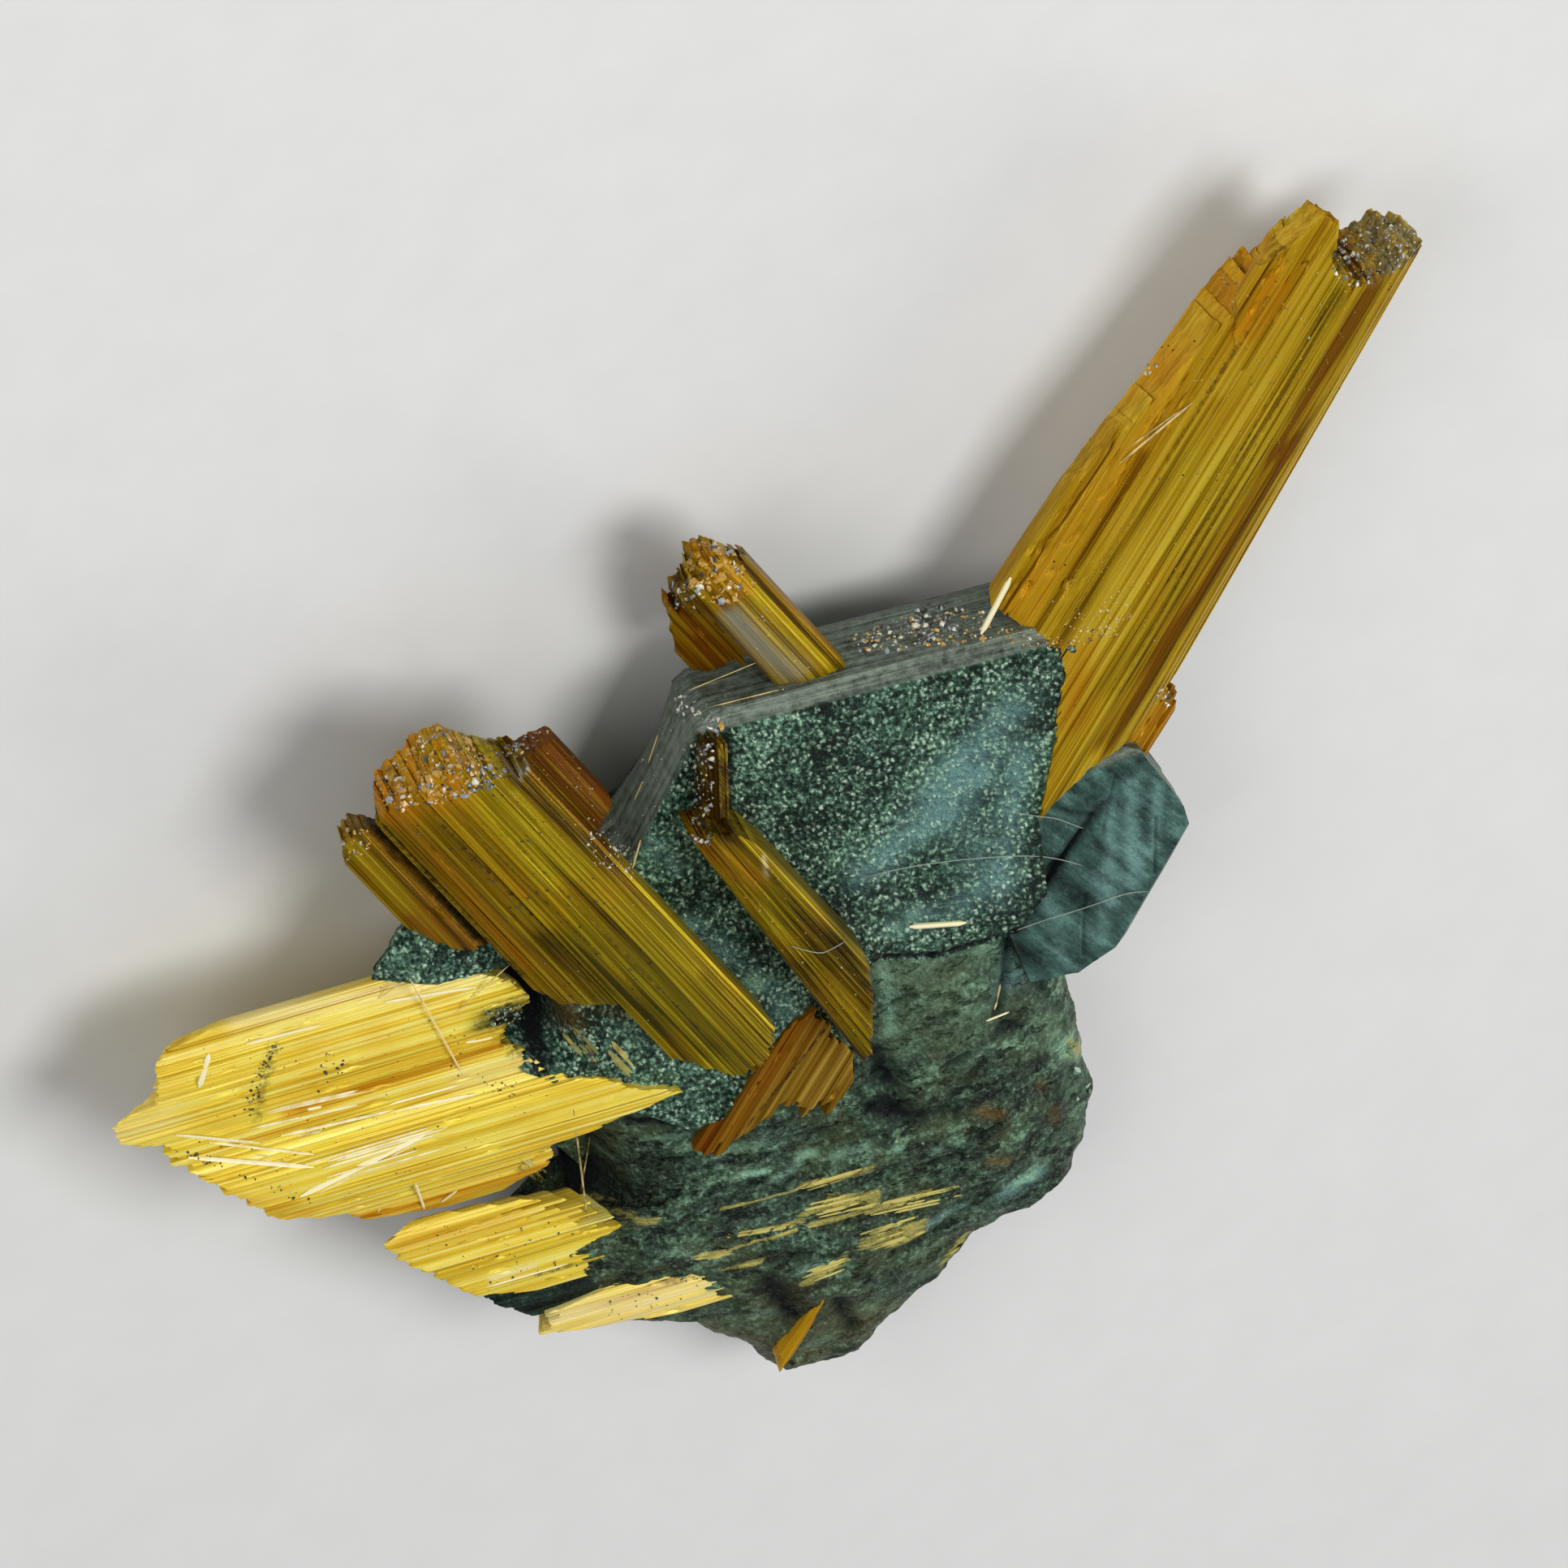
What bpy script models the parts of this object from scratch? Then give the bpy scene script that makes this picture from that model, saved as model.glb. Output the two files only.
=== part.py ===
"""Rutile crystals grown on a tabular hematite crystal, at real size.

The frame has its origin on the flat face that the specimen rests on, and +Z up along the normal
of the hematite's basal face. Sizes in this file are millimetres, and MM turns them into metres.
Rutile grows on hematite in three directions of the basal plane, 60 degrees apart, so every
rutile crystal has one of the headings below and is written along and across it.
"""

import math
import random
from dataclasses import dataclass

import bpy
import numpy as np
from mathutils import Vector
from mathutils.geometry import convex_hull_2d

MM = 0.001

# Heights above the resting face
BASAL_TOP = 2.6
PLATE_BOTTOM = 0.95
PLATE_WAIST = 1.25
FOOT_TOP = 1.35

# Clearance between a crystal and its seat in the hematite, and the height that seats are cut to
GAP = 0.3
SEAT_TOP = 5.0

# Bevels along the upper edges, and how far an underside is drawn in for each mm below the waist
RUTILE_BEVEL = 0.12
PLATE_BEVEL = 0.28
UNDERCUT = 0.9
NARROWEST_UNDERSIDE = 0.35

# Limit on how far a sharp corner reaches out when its outline is widened
SHORTEST_MITRE = 0.5

# The three growth directions, as the way that each crystal points from its root to its tip
FAN_HEADING = -22.0
WEDGE_HEADING = FAN_HEADING + 60.0
SPEAR_HEADING = WEDGE_HEADING + 180.0
PRISM_HEADING = FAN_HEADING + 300.0

# The foot that the specimen stands on narrows downwards to this share of its width
FOOT_TAPER = 0.78
FOOT_CENTRE = (0.0, -2.2)


@dataclass(frozen=True)
class Lath:
    """A flat bar: its outline seen from above as (along, across), and its heights.

    The sides stand upright between waist and high, and below waist they lean in to a narrower
    underside at low.
    """

    outline: tuple
    low: float
    waist: float
    high: float


@dataclass(frozen=True)
class Crystal:
    """A rutile crystal: laths that share a root point and a heading."""

    name: str
    root: tuple
    heading: float
    colour: tuple
    laths: tuple


SPEAR_ROOT = (-3.9, -3.3)
LEFT_ROOT = (1.3, -2.7)
FAN_ROOT = (4.0, -4.0)

CRYSTALS = (
    Crystal(
        "rutile_spear", SPEAR_ROOT, SPEAR_HEADING, (0.30, 0.18, 0.012),
        (
            Lath(((0.0, 0.1), (1.6, -0.65), (2.8, -0.95), (11.35, -0.57), (11.15, 0.2), (11.3, 0.8),
                  (11.5, 1.3), (3.2, 1.7), (3.0, 1.3)), 0.95, 1.45, 2.65),
            Lath(((3.2, 1.2), (3.3, 2.3), (6.0, 2.2), (6.1, 2.05), (10.2, 1.75), (10.4, 1.2)),
                 1.1, 1.7, 2.2),
            Lath(((9.8, 1.0), (9.9, 1.95), (12.0, 1.95), (12.1, 1.5), (11.6, 1.0)), 1.6, 2.3, 2.6),
        ),
    ),
    Crystal(
        "rutile_spear_foot", SPEAR_ROOT, SPEAR_HEADING, (0.34, 0.13, 0.01),
        (
            Lath(((1.25, -1.3), (1.05, -1.85), (2.0, -1.8), (2.5, -1.6), (2.6, -1.3)),
                 1.3, 1.7, 2.1),
        ),
    ),
    Crystal(
        "rutile_top_stub", (-1.6, -8.1), PRISM_HEADING, (0.17, 0.13, 0.02),
        (
            Lath(((-0.6, -0.9), (3.0, -0.95), (3.15, -0.5), (2.95, 0.05), (-0.6, 0.05)),
                 1.0, 1.3, 2.2),
            Lath(((1.0, -0.2), (1.2, 1.0), (1.7, 0.9), (2.1, 0.65), (2.9, 0.3), (2.95, -0.2)),
                 0.9, 1.35, 1.75),
        ),
    ),
    Crystal(
        "rutile_left_prism", LEFT_ROOT, PRISM_HEADING, (0.21, 0.15, 0.01),
        (
            Lath(((0.3, -0.1), (9.0, -0.05), (9.15, 0.6), (9.2, 1.45), (1.4, 1.45), (0.5, 1.1),
                  (0.0, 0.6)), 1.8, 2.2, 3.4),
            Lath(((3.0, 1.3), (3.6, 1.9), (4.7, 2.15), (8.6, 2.25), (8.9, 1.9), (9.0, 1.3)),
                 1.8, 2.2, 3.1),
            Lath(((5.9, 0.1), (6.2, -0.6), (8.5, -0.6), (8.6, 0.1)), 1.9, 2.2, 2.9),
        ),
    ),
    Crystal(
        "rutile_left_rear", LEFT_ROOT, PRISM_HEADING, (0.15, 0.08, 0.01),
        (
            Lath(((5.4, 2.6), (5.8, 2.95), (6.6, 3.15), (8.9, 3.05), (9.3, 2.9), (9.1, 2.6)),
                 1.7, 2.3, 2.9),
        ),
    ),
    Crystal(
        "rutile_centre_blade", (0.3, -1.5), PRISM_HEADING, (0.10, 0.09, 0.015),
        (
            Lath(((0.0, 0.06), (0.1, -0.1), (1.75, -1.02), (6.2, -1.1), (6.6, -0.36)),
                 2.2, 2.4, 3.6),
            Lath(((6.0, -1.05), (7.4, -1.5), (7.6, -1.1), (6.6, -0.45), (6.0, -0.4)),
                 2.2, 2.4, 2.95),
        ),
    ),
    Crystal(
        "rutile_brown_wedge", (0.4, -1.0), WEDGE_HEADING, (0.12, 0.06, 0.015),
        (
            Lath(((-0.4, -1.2), (0.3, 0.1), (0.5, 0.45), (1.1, 0.6), (1.4, 0.1), (1.3, -0.55),
                  (2.45, -1.25), (2.45, -1.45), (0.95, -1.3)), 1.9, 2.3, 2.75),
        ),
    ),
    Crystal(
        "rutile_fan_upper", FAN_ROOT, FAN_HEADING, (0.60, 0.47, 0.06),
        (
            Lath(((-1.6, 1.57), (-0.4, 1.87), (0.85, 2.25), (3.2, 2.25), (4.5, 2.0), (5.2, 1.5),
                  (6.1, 0.5), (7.0, -0.55), (1.2, -0.6), (0.6, 0.2)), 1.3, 1.9, 2.5),
            Lath(((1.2, -0.4), (0.9, -1.6), (1.25, -2.3), (5.1, -2.3), (5.9, -2.15), (6.7, -2.05),
                  (6.85, -1.5), (7.5, -1.45), (7.7, -1.15), (7.55, -0.8), (6.9, -0.45)), 1.35, 2.0, 2.4),
            Lath(((0.9, 2.1), (0.9, 2.7), (2.2, 2.7), (3.5, 2.5), (3.9, 2.0)), 1.4, 1.8, 2.05),
        ),
    ),
    Crystal(
        "rutile_fan_lower", FAN_ROOT, FAN_HEADING, (0.52, 0.44, 0.07),
        (
            Lath(((3.15, 3.25), (2.6, 3.1), (1.35, 3.15), (0.7, 3.3), (0.25, 3.85), (-0.55, 4.45),
                  (-1.95, 5.25), (0.1, 5.25), (1.35, 5.1)), 1.2, 1.85, 2.2),
        ),
    ),
    Crystal(
        "rutile_fan_edge", FAN_ROOT, FAN_HEADING, (0.36, 0.29, 0.08),
        (
            Lath(((0.5, 5.85), (0.35, 6.25), (-0.7, 6.35), (-1.3, 6.5), (-2.2, 6.65), (-3.0, 6.6),
                  (-2.3, 5.7), (-1.0, 5.7)), 1.5, 1.9, 2.2),
        ),
    ),
    Crystal(
        "rutile_orange_sliver", (4.0, 5.0), WEDGE_HEADING, (0.20, 0.12, 0.02),
        (
            Lath(((-1.1, 0.75), (-0.5, 0.5), (0.2, 0.45), (0.4, 0.7), (0.0, 0.85), (-0.8, 1.0)),
                 1.2, 1.4, 1.85),
        ),
    ),
)

HEMATITE_COLOUR = (0.035, 0.055, 0.05)
SIDE_PLATE_COLOUR = (0.09, 0.14, 0.15)
HEMATITE_ROUGHNESS = 0.35
HEMATITE_METALLIC = 0.6
RUTILE_ROUGHNESS = 0.35

# The hexagonal plate, and the thin corner of it that shows beyond the left prism
PLATE_OUTLINE = ((-0.43, -8.97), (1.95, -7.1), (4.6, -6.6), (5.2, -4.3), (3.2, -1.2),
                 (0.5, 1.0), (-3.1, 0.7), (-4.2, -3.5), (-5.4, -4.5), (-5.75, -6.35))
EAR_OUTLINE = ((1.6, -6.9), (5.3, -8.4), (6.1, -7.8), (5.4, -5.0), (2.5, -4.5))
EAR_BOTTOM = 1.15
EAR_WAIST = 2.2
EAR_STEP = 0.05

# The plate that stands beside the main crystal
SIDE_PLATE_OUTLINE = ((-4.35, -2.75), (-5.45, -3.15), (-5.75, -2.95), (-5.9, -1.35), (-5.8, -1.05),
                      (-4.8, 0.0), (-4.15, 0.5), (-3.2, 0.55), (-3.5, -1.0))
SIDE_PLATE_LOW = 1.2
SIDE_PLATE_WAIST = 1.5
SIDE_PLATE_HIGH = 2.4

FOOT_OUTLINE = ((-0.4, -8.3), (2.0, -7.3), (4.9, -7.3), (5.2, -1.5), (4.0, 4.4), (-0.5, 4.6),
                (-2.6, 1.2), (-5.2, -1.6), (-5.0, -6.2))

# The rough mass below the basal face: its rim seen from above, then each ring as its share of the
# rim's width and its height
MASS_OUTLINE = ((-3.2, 0.4), (-2.6, 2.5), (-2.35, 4.0), (-1.3, 5.45), (0.2, 5.45), (1.2, 5.9),
                (2.2, 6.05), (2.8, 6.6), (3.85, 6.2), (4.2, 5.1), (4.7, 4.0), (6.2, 2.5), (6.9, 1.4),
                (7.2, 0.4), (5.2, 0.1), (4.9, -1.0), (5.4, -3.4), (3.0, -4.6), (0.0, -4.0),
                (-2.6, -2.0))
MASS_CENTRE = (1.4, 0.4)
MASS_RINGS = ((0.74, 0.35), (0.95, 0.8), (1.0, 1.25), (0.985, 1.7), (0.84, 2.05), (0.62, 2.35),
              (0.35, 2.45))
MASS_SIDES = 44
MASS_ROUGHNESS = 0.06
MASS_SEED = 7


def clear_scene():
    """Remove every object that the file already holds."""
    for item in list(bpy.data.objects):
        bpy.data.objects.remove(item, do_unlink=True)


def make_material(name, colour, roughness, metallic):
    """Make a plain Principled material."""
    material = bpy.data.materials.new(name)
    material.use_nodes = True
    shader = material.node_tree.nodes["Principled BSDF"]
    shader.inputs["Base Color"].default_value = (*colour, 1.0)
    shader.inputs["Roughness"].default_value = roughness
    shader.inputs["Metallic"].default_value = metallic
    material.diffuse_color = (*colour, 1.0)
    return material


def counterclockwise(outline):
    """Return the outline as an array whose points run counterclockwise seen from above."""
    points = np.array(outline, dtype=float)
    following = np.roll(points, -1, axis=0)
    area = np.sum(points[:, 0] * following[:, 1] - following[:, 0] * points[:, 1])
    return points if area > 0 else points[::-1]


def offset(points, distance):
    """Move each side of a counterclockwise outline outwards by distance, with mitred corners."""
    side = np.roll(points, -1, axis=0) - points
    side /= np.linalg.norm(side, axis=1, keepdims=True)
    normal = np.column_stack((side[:, 1], -side[:, 0]))
    before = np.roll(normal, 1, axis=0)
    mitre = normal + before
    reach = np.maximum(np.sum(mitre * normal, axis=1), SHORTEST_MITRE)
    return points + distance * mitre / reach[:, None]


def widened(outline, distance):
    """Return the convex outline round all the points, grown outwards by distance."""
    points = [Vector(point) for point in outline]
    hull = [tuple(points[index]) for index in convex_hull_2d(points)]
    return offset(counterclockwise(hull), distance)


def loft(name, rings, poles=None):
    """Make a closed mesh object from rings of equal length, each an array of (x, y, z).

    The ends are closed by one face each, or by a fan round a lower and an upper pole.
    """
    count = len(rings[0])
    vertices = np.vstack(rings)
    faces = []
    for level in range(len(rings) - 1):
        low = level * count
        high = low + count
        for index in range(count):
            following = (index + 1) % count
            faces.append((low + index, low + following, high + following, high + index))
    top = len(vertices) - count
    if poles is None:
        faces.append(tuple(reversed(range(count))))
        faces.append(tuple(range(top, top + count)))
    else:
        lower_pole = len(vertices)
        upper_pole = lower_pole + 1
        vertices = np.vstack((vertices, poles))
        for index in range(count):
            following = (index + 1) % count
            faces.append((following, index, lower_pole))
            faces.append((top + index, top + following, upper_pole))
    mesh = bpy.data.meshes.new(name)
    mesh.from_pydata((vertices * MM).tolist(), [], faces)
    item = bpy.data.objects.new(name, mesh)
    bpy.context.scene.collection.objects.link(item)
    return item


def level_ring(points, height):
    """Lift a flat outline to a height."""
    return np.column_stack((points, np.full(len(points), height)))


def shrink(points, inset):
    """Draw an outline in towards the middle of its box, by inset on each side along and across."""
    lowest = points.min(axis=0)
    highest = points.max(axis=0)
    share = np.maximum(1.0 - 2.0 * inset / (highest - lowest), NARROWEST_UNDERSIDE)
    middle = (lowest + highest) / 2
    return middle + (points - middle) * share


def slab(name, outline, low, waist, high, bevel):
    """Make a flat bar with bevelled upper edges and an underside that is narrower than its waist."""
    points = counterclockwise(outline)
    levels = (
        (shrink(points, UNDERCUT * (waist - low)), low),
        (points, waist),
        (points, high - bevel),
        (shrink(points, bevel), high),
    )
    return loft(name, [level_ring(ring, height) for ring, height in levels])


def hide_helper(item):
    """Keep a cutter or a joined part out of the model."""
    item.hide_render = True
    item.display_type = "WIRE"


def combine(body, helper, operation):
    """Join a helper to a body, or cut it out of the body."""
    modifier = body.modifiers.new(helper.name, "BOOLEAN")
    modifier.operation = operation
    modifier.object = helper
    hide_helper(helper)


def place(item, crystal):
    """Put an object on a crystal's root, turned to its heading."""
    item.location = (crystal.root[0] * MM, crystal.root[1] * MM, 0.0)
    item.rotation_euler = (0.0, 0.0, math.radians(crystal.heading))


def build_crystal(crystal):
    """Build a rutile crystal as its laths joined into one solid."""
    first = crystal.laths[0]
    body = slab(crystal.name, first.outline, first.low, first.waist, first.high, RUTILE_BEVEL)
    place(body, crystal)
    for number, lath in enumerate(crystal.laths[1:], start=2):
        part = slab(f"{crystal.name}_lath_{number}", lath.outline, lath.low, lath.waist, lath.high,
                    RUTILE_BEVEL)
        place(part, crystal)
        combine(body, part, "UNION")
    body.data.materials.append(make_material(crystal.name, crystal.colour, RUTILE_ROUGHNESS, 0.0))
    return body


def build_seat(name, outline, low):
    """Build the cutter that leaves a neighbour its clearance, open towards the top."""
    points = widened(outline, GAP)
    return loft(name, [level_ring(points, low - GAP), level_ring(points, SEAT_TOP)])


def build_seats(crystal):
    """Build a seat for each of a crystal's laths."""
    seats = []
    for number, lath in enumerate(crystal.laths, start=1):
        seat = build_seat(f"{crystal.name}_seat_{number}", lath.outline, lath.low)
        place(seat, crystal)
        seats.append(seat)
    return seats


def resample(outline, count):
    """Return points evenly spaced along a closed outline."""
    points = counterclockwise(outline)
    closed = np.vstack((points, points[:1]))
    lengths = np.linalg.norm(np.diff(closed, axis=0), axis=1)
    travelled = np.concatenate(([0.0], np.cumsum(lengths)))
    wanted = np.linspace(0.0, travelled[-1], count, endpoint=False)
    across = np.interp(wanted, travelled, closed[:, 0])
    along = np.interp(wanted, travelled, closed[:, 1])
    return np.column_stack((across, along))


def build_mass():
    """Build the rough mass as rings that shrink towards its centre, each jittered a little."""
    source = random.Random(MASS_SEED)
    rim = resample(MASS_OUTLINE, MASS_SIDES)
    centre = np.array(MASS_CENTRE)
    rings = []
    for share, height in MASS_RINGS:
        ring = centre + (rim - centre) * share
        rise = [height + source.uniform(-MASS_ROUGHNESS, MASS_ROUGHNESS) for _ in range(MASS_SIDES)]
        rings.append(np.column_stack((ring, rise)))
    poles = [(*MASS_CENTRE, MASS_RINGS[0][1]), (*MASS_CENTRE, MASS_RINGS[-1][1])]
    return loft("hematite_mass", rings, poles)


def build_foot():
    """Build the foot: a frustum whose lower face is the flat face that the specimen rests on."""
    upper = counterclockwise(FOOT_OUTLINE)
    centre = np.array(FOOT_CENTRE)
    lower = centre + (upper - centre) * FOOT_TAPER
    return loft("hematite_foot", [level_ring(lower, 0.0), level_ring(upper, FOOT_TOP)])


def build_hematite():
    """Build the hematite crystal with its rough mass, and cut a seat for each neighbour."""
    plate = slab("hematite_crystal", PLATE_OUTLINE, PLATE_BOTTOM, PLATE_WAIST, BASAL_TOP, PLATE_BEVEL)
    ear = slab("hematite_ear", EAR_OUTLINE, EAR_BOTTOM, EAR_WAIST, BASAL_TOP - EAR_STEP, RUTILE_BEVEL)
    combine(plate, ear, "UNION")
    combine(plate, build_foot(), "UNION")
    combine(plate, build_mass(), "UNION")
    plate.data.materials.append(
        make_material("hematite", HEMATITE_COLOUR, HEMATITE_ROUGHNESS, HEMATITE_METALLIC))
    seat = build_seat("hematite_side_plate_seat", SIDE_PLATE_OUTLINE, SIDE_PLATE_LOW)
    combine(plate, seat, "DIFFERENCE")
    for crystal in CRYSTALS:
        for seat in build_seats(crystal):
            combine(plate, seat, "DIFFERENCE")
    return plate


def build_side_plate():
    """Build the hematite plate that stands beside the main crystal."""
    plate = slab("hematite_side_plate", SIDE_PLATE_OUTLINE, SIDE_PLATE_LOW, SIDE_PLATE_WAIST,
                 SIDE_PLATE_HIGH, RUTILE_BEVEL)
    plate.data.materials.append(
        make_material("hematite_blue", SIDE_PLATE_COLOUR, HEMATITE_ROUGHNESS, HEMATITE_METALLIC))
    return plate


def main():
    """Build the whole specimen."""
    clear_scene()
    build_hematite()
    build_side_plate()
    for crystal in CRYSTALS:
        build_crystal(crystal)


main()
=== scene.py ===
"""Looks of a specimen of rutile on hematite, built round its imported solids.

The specimen rests on z = 0 with the hematite's basal face level, and the camera looks down on it
from the -Y side. Sizes are millimetres, and MM turns them into metres where a mesh, a light or the
camera is made. Rutile grows on hematite in three directions of the basal plane, so each crystal has
a heading in degrees, and its places are written as (along, across) from its root.
"""

import logging
import math
from dataclasses import dataclass
from enum import Enum

import bpy
import numpy as np
from bpy.types import Material, Node, NodeTree, Object
from bpy.types import NodeSocket as Socket
from mathutils import Matrix, Vector
from mathutils.bvhtree import BVHTree


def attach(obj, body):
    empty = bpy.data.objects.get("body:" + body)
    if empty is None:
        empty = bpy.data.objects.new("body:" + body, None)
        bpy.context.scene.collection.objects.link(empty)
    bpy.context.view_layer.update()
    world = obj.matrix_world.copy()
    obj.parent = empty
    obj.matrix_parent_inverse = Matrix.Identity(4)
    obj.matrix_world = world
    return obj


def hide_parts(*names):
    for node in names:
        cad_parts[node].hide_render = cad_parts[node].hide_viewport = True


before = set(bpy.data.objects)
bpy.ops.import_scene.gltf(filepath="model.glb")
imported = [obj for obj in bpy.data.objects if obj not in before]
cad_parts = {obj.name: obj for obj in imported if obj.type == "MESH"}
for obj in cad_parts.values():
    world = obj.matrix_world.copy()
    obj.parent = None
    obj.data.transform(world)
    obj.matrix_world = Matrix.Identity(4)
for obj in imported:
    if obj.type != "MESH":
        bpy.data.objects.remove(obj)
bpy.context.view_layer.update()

MM = 0.001
BODY = "root"

# Edges sharper than this many degrees stay crisp; a broken end's roughness fades over REACH mm
SHARP_ANGLE = 38.0
REACH = 0.1
LOG = logging.getLogger("specimen")

Array = np.ndarray
Pair = tuple[float, float]
Triple = tuple[float, float, float]
Five = tuple[float, float, float, float, float]
Six = tuple[float, float, float, float, float, float]
Outline = tuple[Pair, ...]
Paint = dict["Layer", Array]

FAN_HEADING = -22.0
WEDGE_HEADING = 38.0
SPEAR_HEADING = 218.0
PRISM_HEADING = 278.0

# Directions of the picture's right, its top and its viewer, written in the row frame
SIGHT_RIGHT = np.array([-0.8572, 0.3379, 0.3887])
SIGHT_UP = np.array([-0.5150, -0.5624, -0.6469])
SIGHT_BACK = np.array([0.0, -0.7547, 0.6561])


class Layer(Enum):
    """Values painted on the points of a piece, which its finish turns into colour."""

    TONE = "tone"
    AMBER = "amber"
    # Dark grit and black crumbs, and also painted shade: the same dark marks are laid in hollows, cracks and
    # the grooves between crystals
    SOIL = "soil"
    PALE = "pale"
    # Painted sheen: blue-grey and silver patches of colour that stand in for light reflected off smooth faces
    # and broken ends
    SHEEN = "sheen"
    MOSS = "moss"
    BARE = "bare"
    STRAW = "straw"


class Slot(Enum):
    """Material slots of the record."""

    HEMATITE = "hematite"
    HEMATITE_BLUE = "hematite_blue"
    GOLDEN = "rutile_golden"
    OLIVE = "rutile_olive"
    BROWN = "rutile_brown"
    ORANGE = "rutile_orange"
    PALE = "rutile_pale"


# ---- shapes


class Noise:
    """Smooth random values on a lattice of points."""

    SIDE = 32

    def __init__(self, seed: int) -> None:
        """Fill the lattice.

        Args:
            seed: Start of the random series.
        """
        shape = (self.SIDE,) * 3
        self.lattice = np.random.default_rng(seed).uniform(-1.0, 1.0, shape)

    def value(self, points: Array) -> Array:
        """Blend the eight lattice values round each point, with the weight 3t^2 - 2t^3.

        Args:
            points: Places in lattice cells, as (..., 3).

        Returns:
            A value from -1 to 1 for each point.
        """
        cell = np.floor(points).astype(int)
        part = points - cell
        part = part * part * (3.0 - 2.0 * part)
        ends = (cell % self.SIDE, (cell + 1) % self.SIDE)
        shares = (1.0 - part, part)
        total = np.zeros(points.shape[:-1])
        for corner in range(8):
            x, y, z = ((corner >> axis) & 1 for axis in range(3))
            weight = shares[x][..., 0] * shares[y][..., 1] * shares[z][..., 2]
            total += weight * self.lattice[ends[x][..., 0], ends[y][..., 1], ends[z][..., 2]]
        return total

    def fractal(self, points: Array, octaves: int = 4, gain: float = 0.5) -> Array:
        """Add octaves of the noise, each twice as fine as the one before.

        Args:
            points: Places in lattice cells, as (..., 3).
            octaves: Number of layers.
            gain: Strength of each layer against the one before.

        Returns:
            A value of about -1 to 1 for each point.
        """
        total = np.zeros(points.shape[:-1])
        strength = 1.0
        whole = 0.0
        for octave in range(octaves):
            total += strength * self.value(points * 2.0**octave + 7.3 * octave)
            whole += strength
            strength *= gain
        return total / whole


@dataclass(frozen=True)
class Stroke:
    """A soft mark along a line on a surface seen from above."""

    layer: Layer
    start: Pair
    end: Pair
    width: float
    strength: float

    def mask(self, flat: Array) -> Array:
        """Strength times exp(-(d / width)^2), where d is the distance to the line.

        Args:
            flat: Places on the surface, as (n, 2).

        Returns:
            The mark's strength at each place.
        """
        start = np.array(self.start)
        reach = np.array(self.end) - start
        share = ((flat - start) @ reach / max(float(reach @ reach), 1e-9)).clip(0.0, 1.0)
        away = np.linalg.norm(flat - start - share[:, None] * reach, axis=1)
        return self.strength * np.exp(-((away / self.width) ** 2))


@dataclass
class Shell:
    """Closed surfaces as arrays: places, faces, their layout on the map and painted values."""

    points: Array
    corners: Array
    sizes: Array
    uv: Array
    paint: Paint

    def layer(self, layer: Layer) -> Array:
        """Return a painted layer, or zeros where none was painted."""
        return self.paint.get(layer, np.zeros(len(self.points)))


def join_shells(shells: list[Shell]) -> Shell:
    """Put shells into one, with their maps side by side.

    Args:
        shells: The shells to join.

    Returns:
        One shell that holds them all.
    """
    starts = np.cumsum([0] + [len(s.points) for s in shells])
    share = np.array([len(s.corners) for s in shells], float)
    lows = np.concatenate(([0.0], np.cumsum(share) / share.sum()))
    layers = [layer for layer in Layer if any(layer in s.paint for s in shells)]
    uv = [s.uv * (1.0, high - low) + (0.0, low) for s, low, high in zip(shells, lows[:-1], lows[1:])]
    return Shell(
        np.concatenate([s.points for s in shells]),
        np.concatenate([s.corners + start for s, start in zip(shells, starts)]),
        np.concatenate([s.sizes for s in shells]),
        np.concatenate(uv),
        {layer: np.concatenate([s.layer(layer) for s in shells]) for layer in layers},
    )


def passed_along(points: Array) -> Array:
    """Return the length of a line from its start to each of its points."""
    steps = np.linalg.norm(np.diff(points, axis=0), axis=1)
    return np.concatenate(([0.0], np.cumsum(steps)))


def smoothed(rows: Array, passes: int) -> Array:
    """Even out lines of (..., points, 3): each inner point becomes the mean of itself and its neighbours."""
    for _ in range(passes):
        rows[..., 1:-1, :] = (rows[..., :-2, :] + rows[..., 1:-1, :] + rows[..., 2:, :]) / 3.0
    return rows


def cells_of(grid: Array, down: bool = False) -> Array:
    """Return the four corners of each cell of a grid of points.

    Args:
        grid: Indices of the points, in rows.
        down: Whether the corners start along the column, which turns the cells over.

    Returns:
        One row of four indices for each cell.
    """
    corners = np.stack((grid[:-1, :-1], grid[:-1, 1:], grid[1:, 1:], grid[1:, :-1]), -1).reshape(-1, 4)
    return corners[:, [0, 3, 2, 1]] if down else corners


def cell_map(rows: int, columns: int, low: Pair, size: Pair, down: bool = False) -> Array:
    """Lay the corners of a grid's cells out on the map, in the order of cells_of.

    Args:
        rows: Number of rows of cells, which run along the map's first direction.
        columns: Number of columns of cells.
        low: The layout's low corner.
        size: Its size.
        down: As in cells_of.

    Returns:
        One place for each corner, as (corners, 2).
    """
    k, j = np.meshgrid(np.arange(rows), np.arange(columns), indexing="ij")
    u = low[0] + size[0] * np.stack((k, k, k + 1, k + 1), -1) / rows
    v = low[1] + size[1] * np.stack((j, j + 1, j + 1, j), -1) / columns
    places = np.stack((u, v), -1)
    return (places[..., [0, 3, 2, 1], :] if down else places).reshape(-1, 2)


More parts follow.
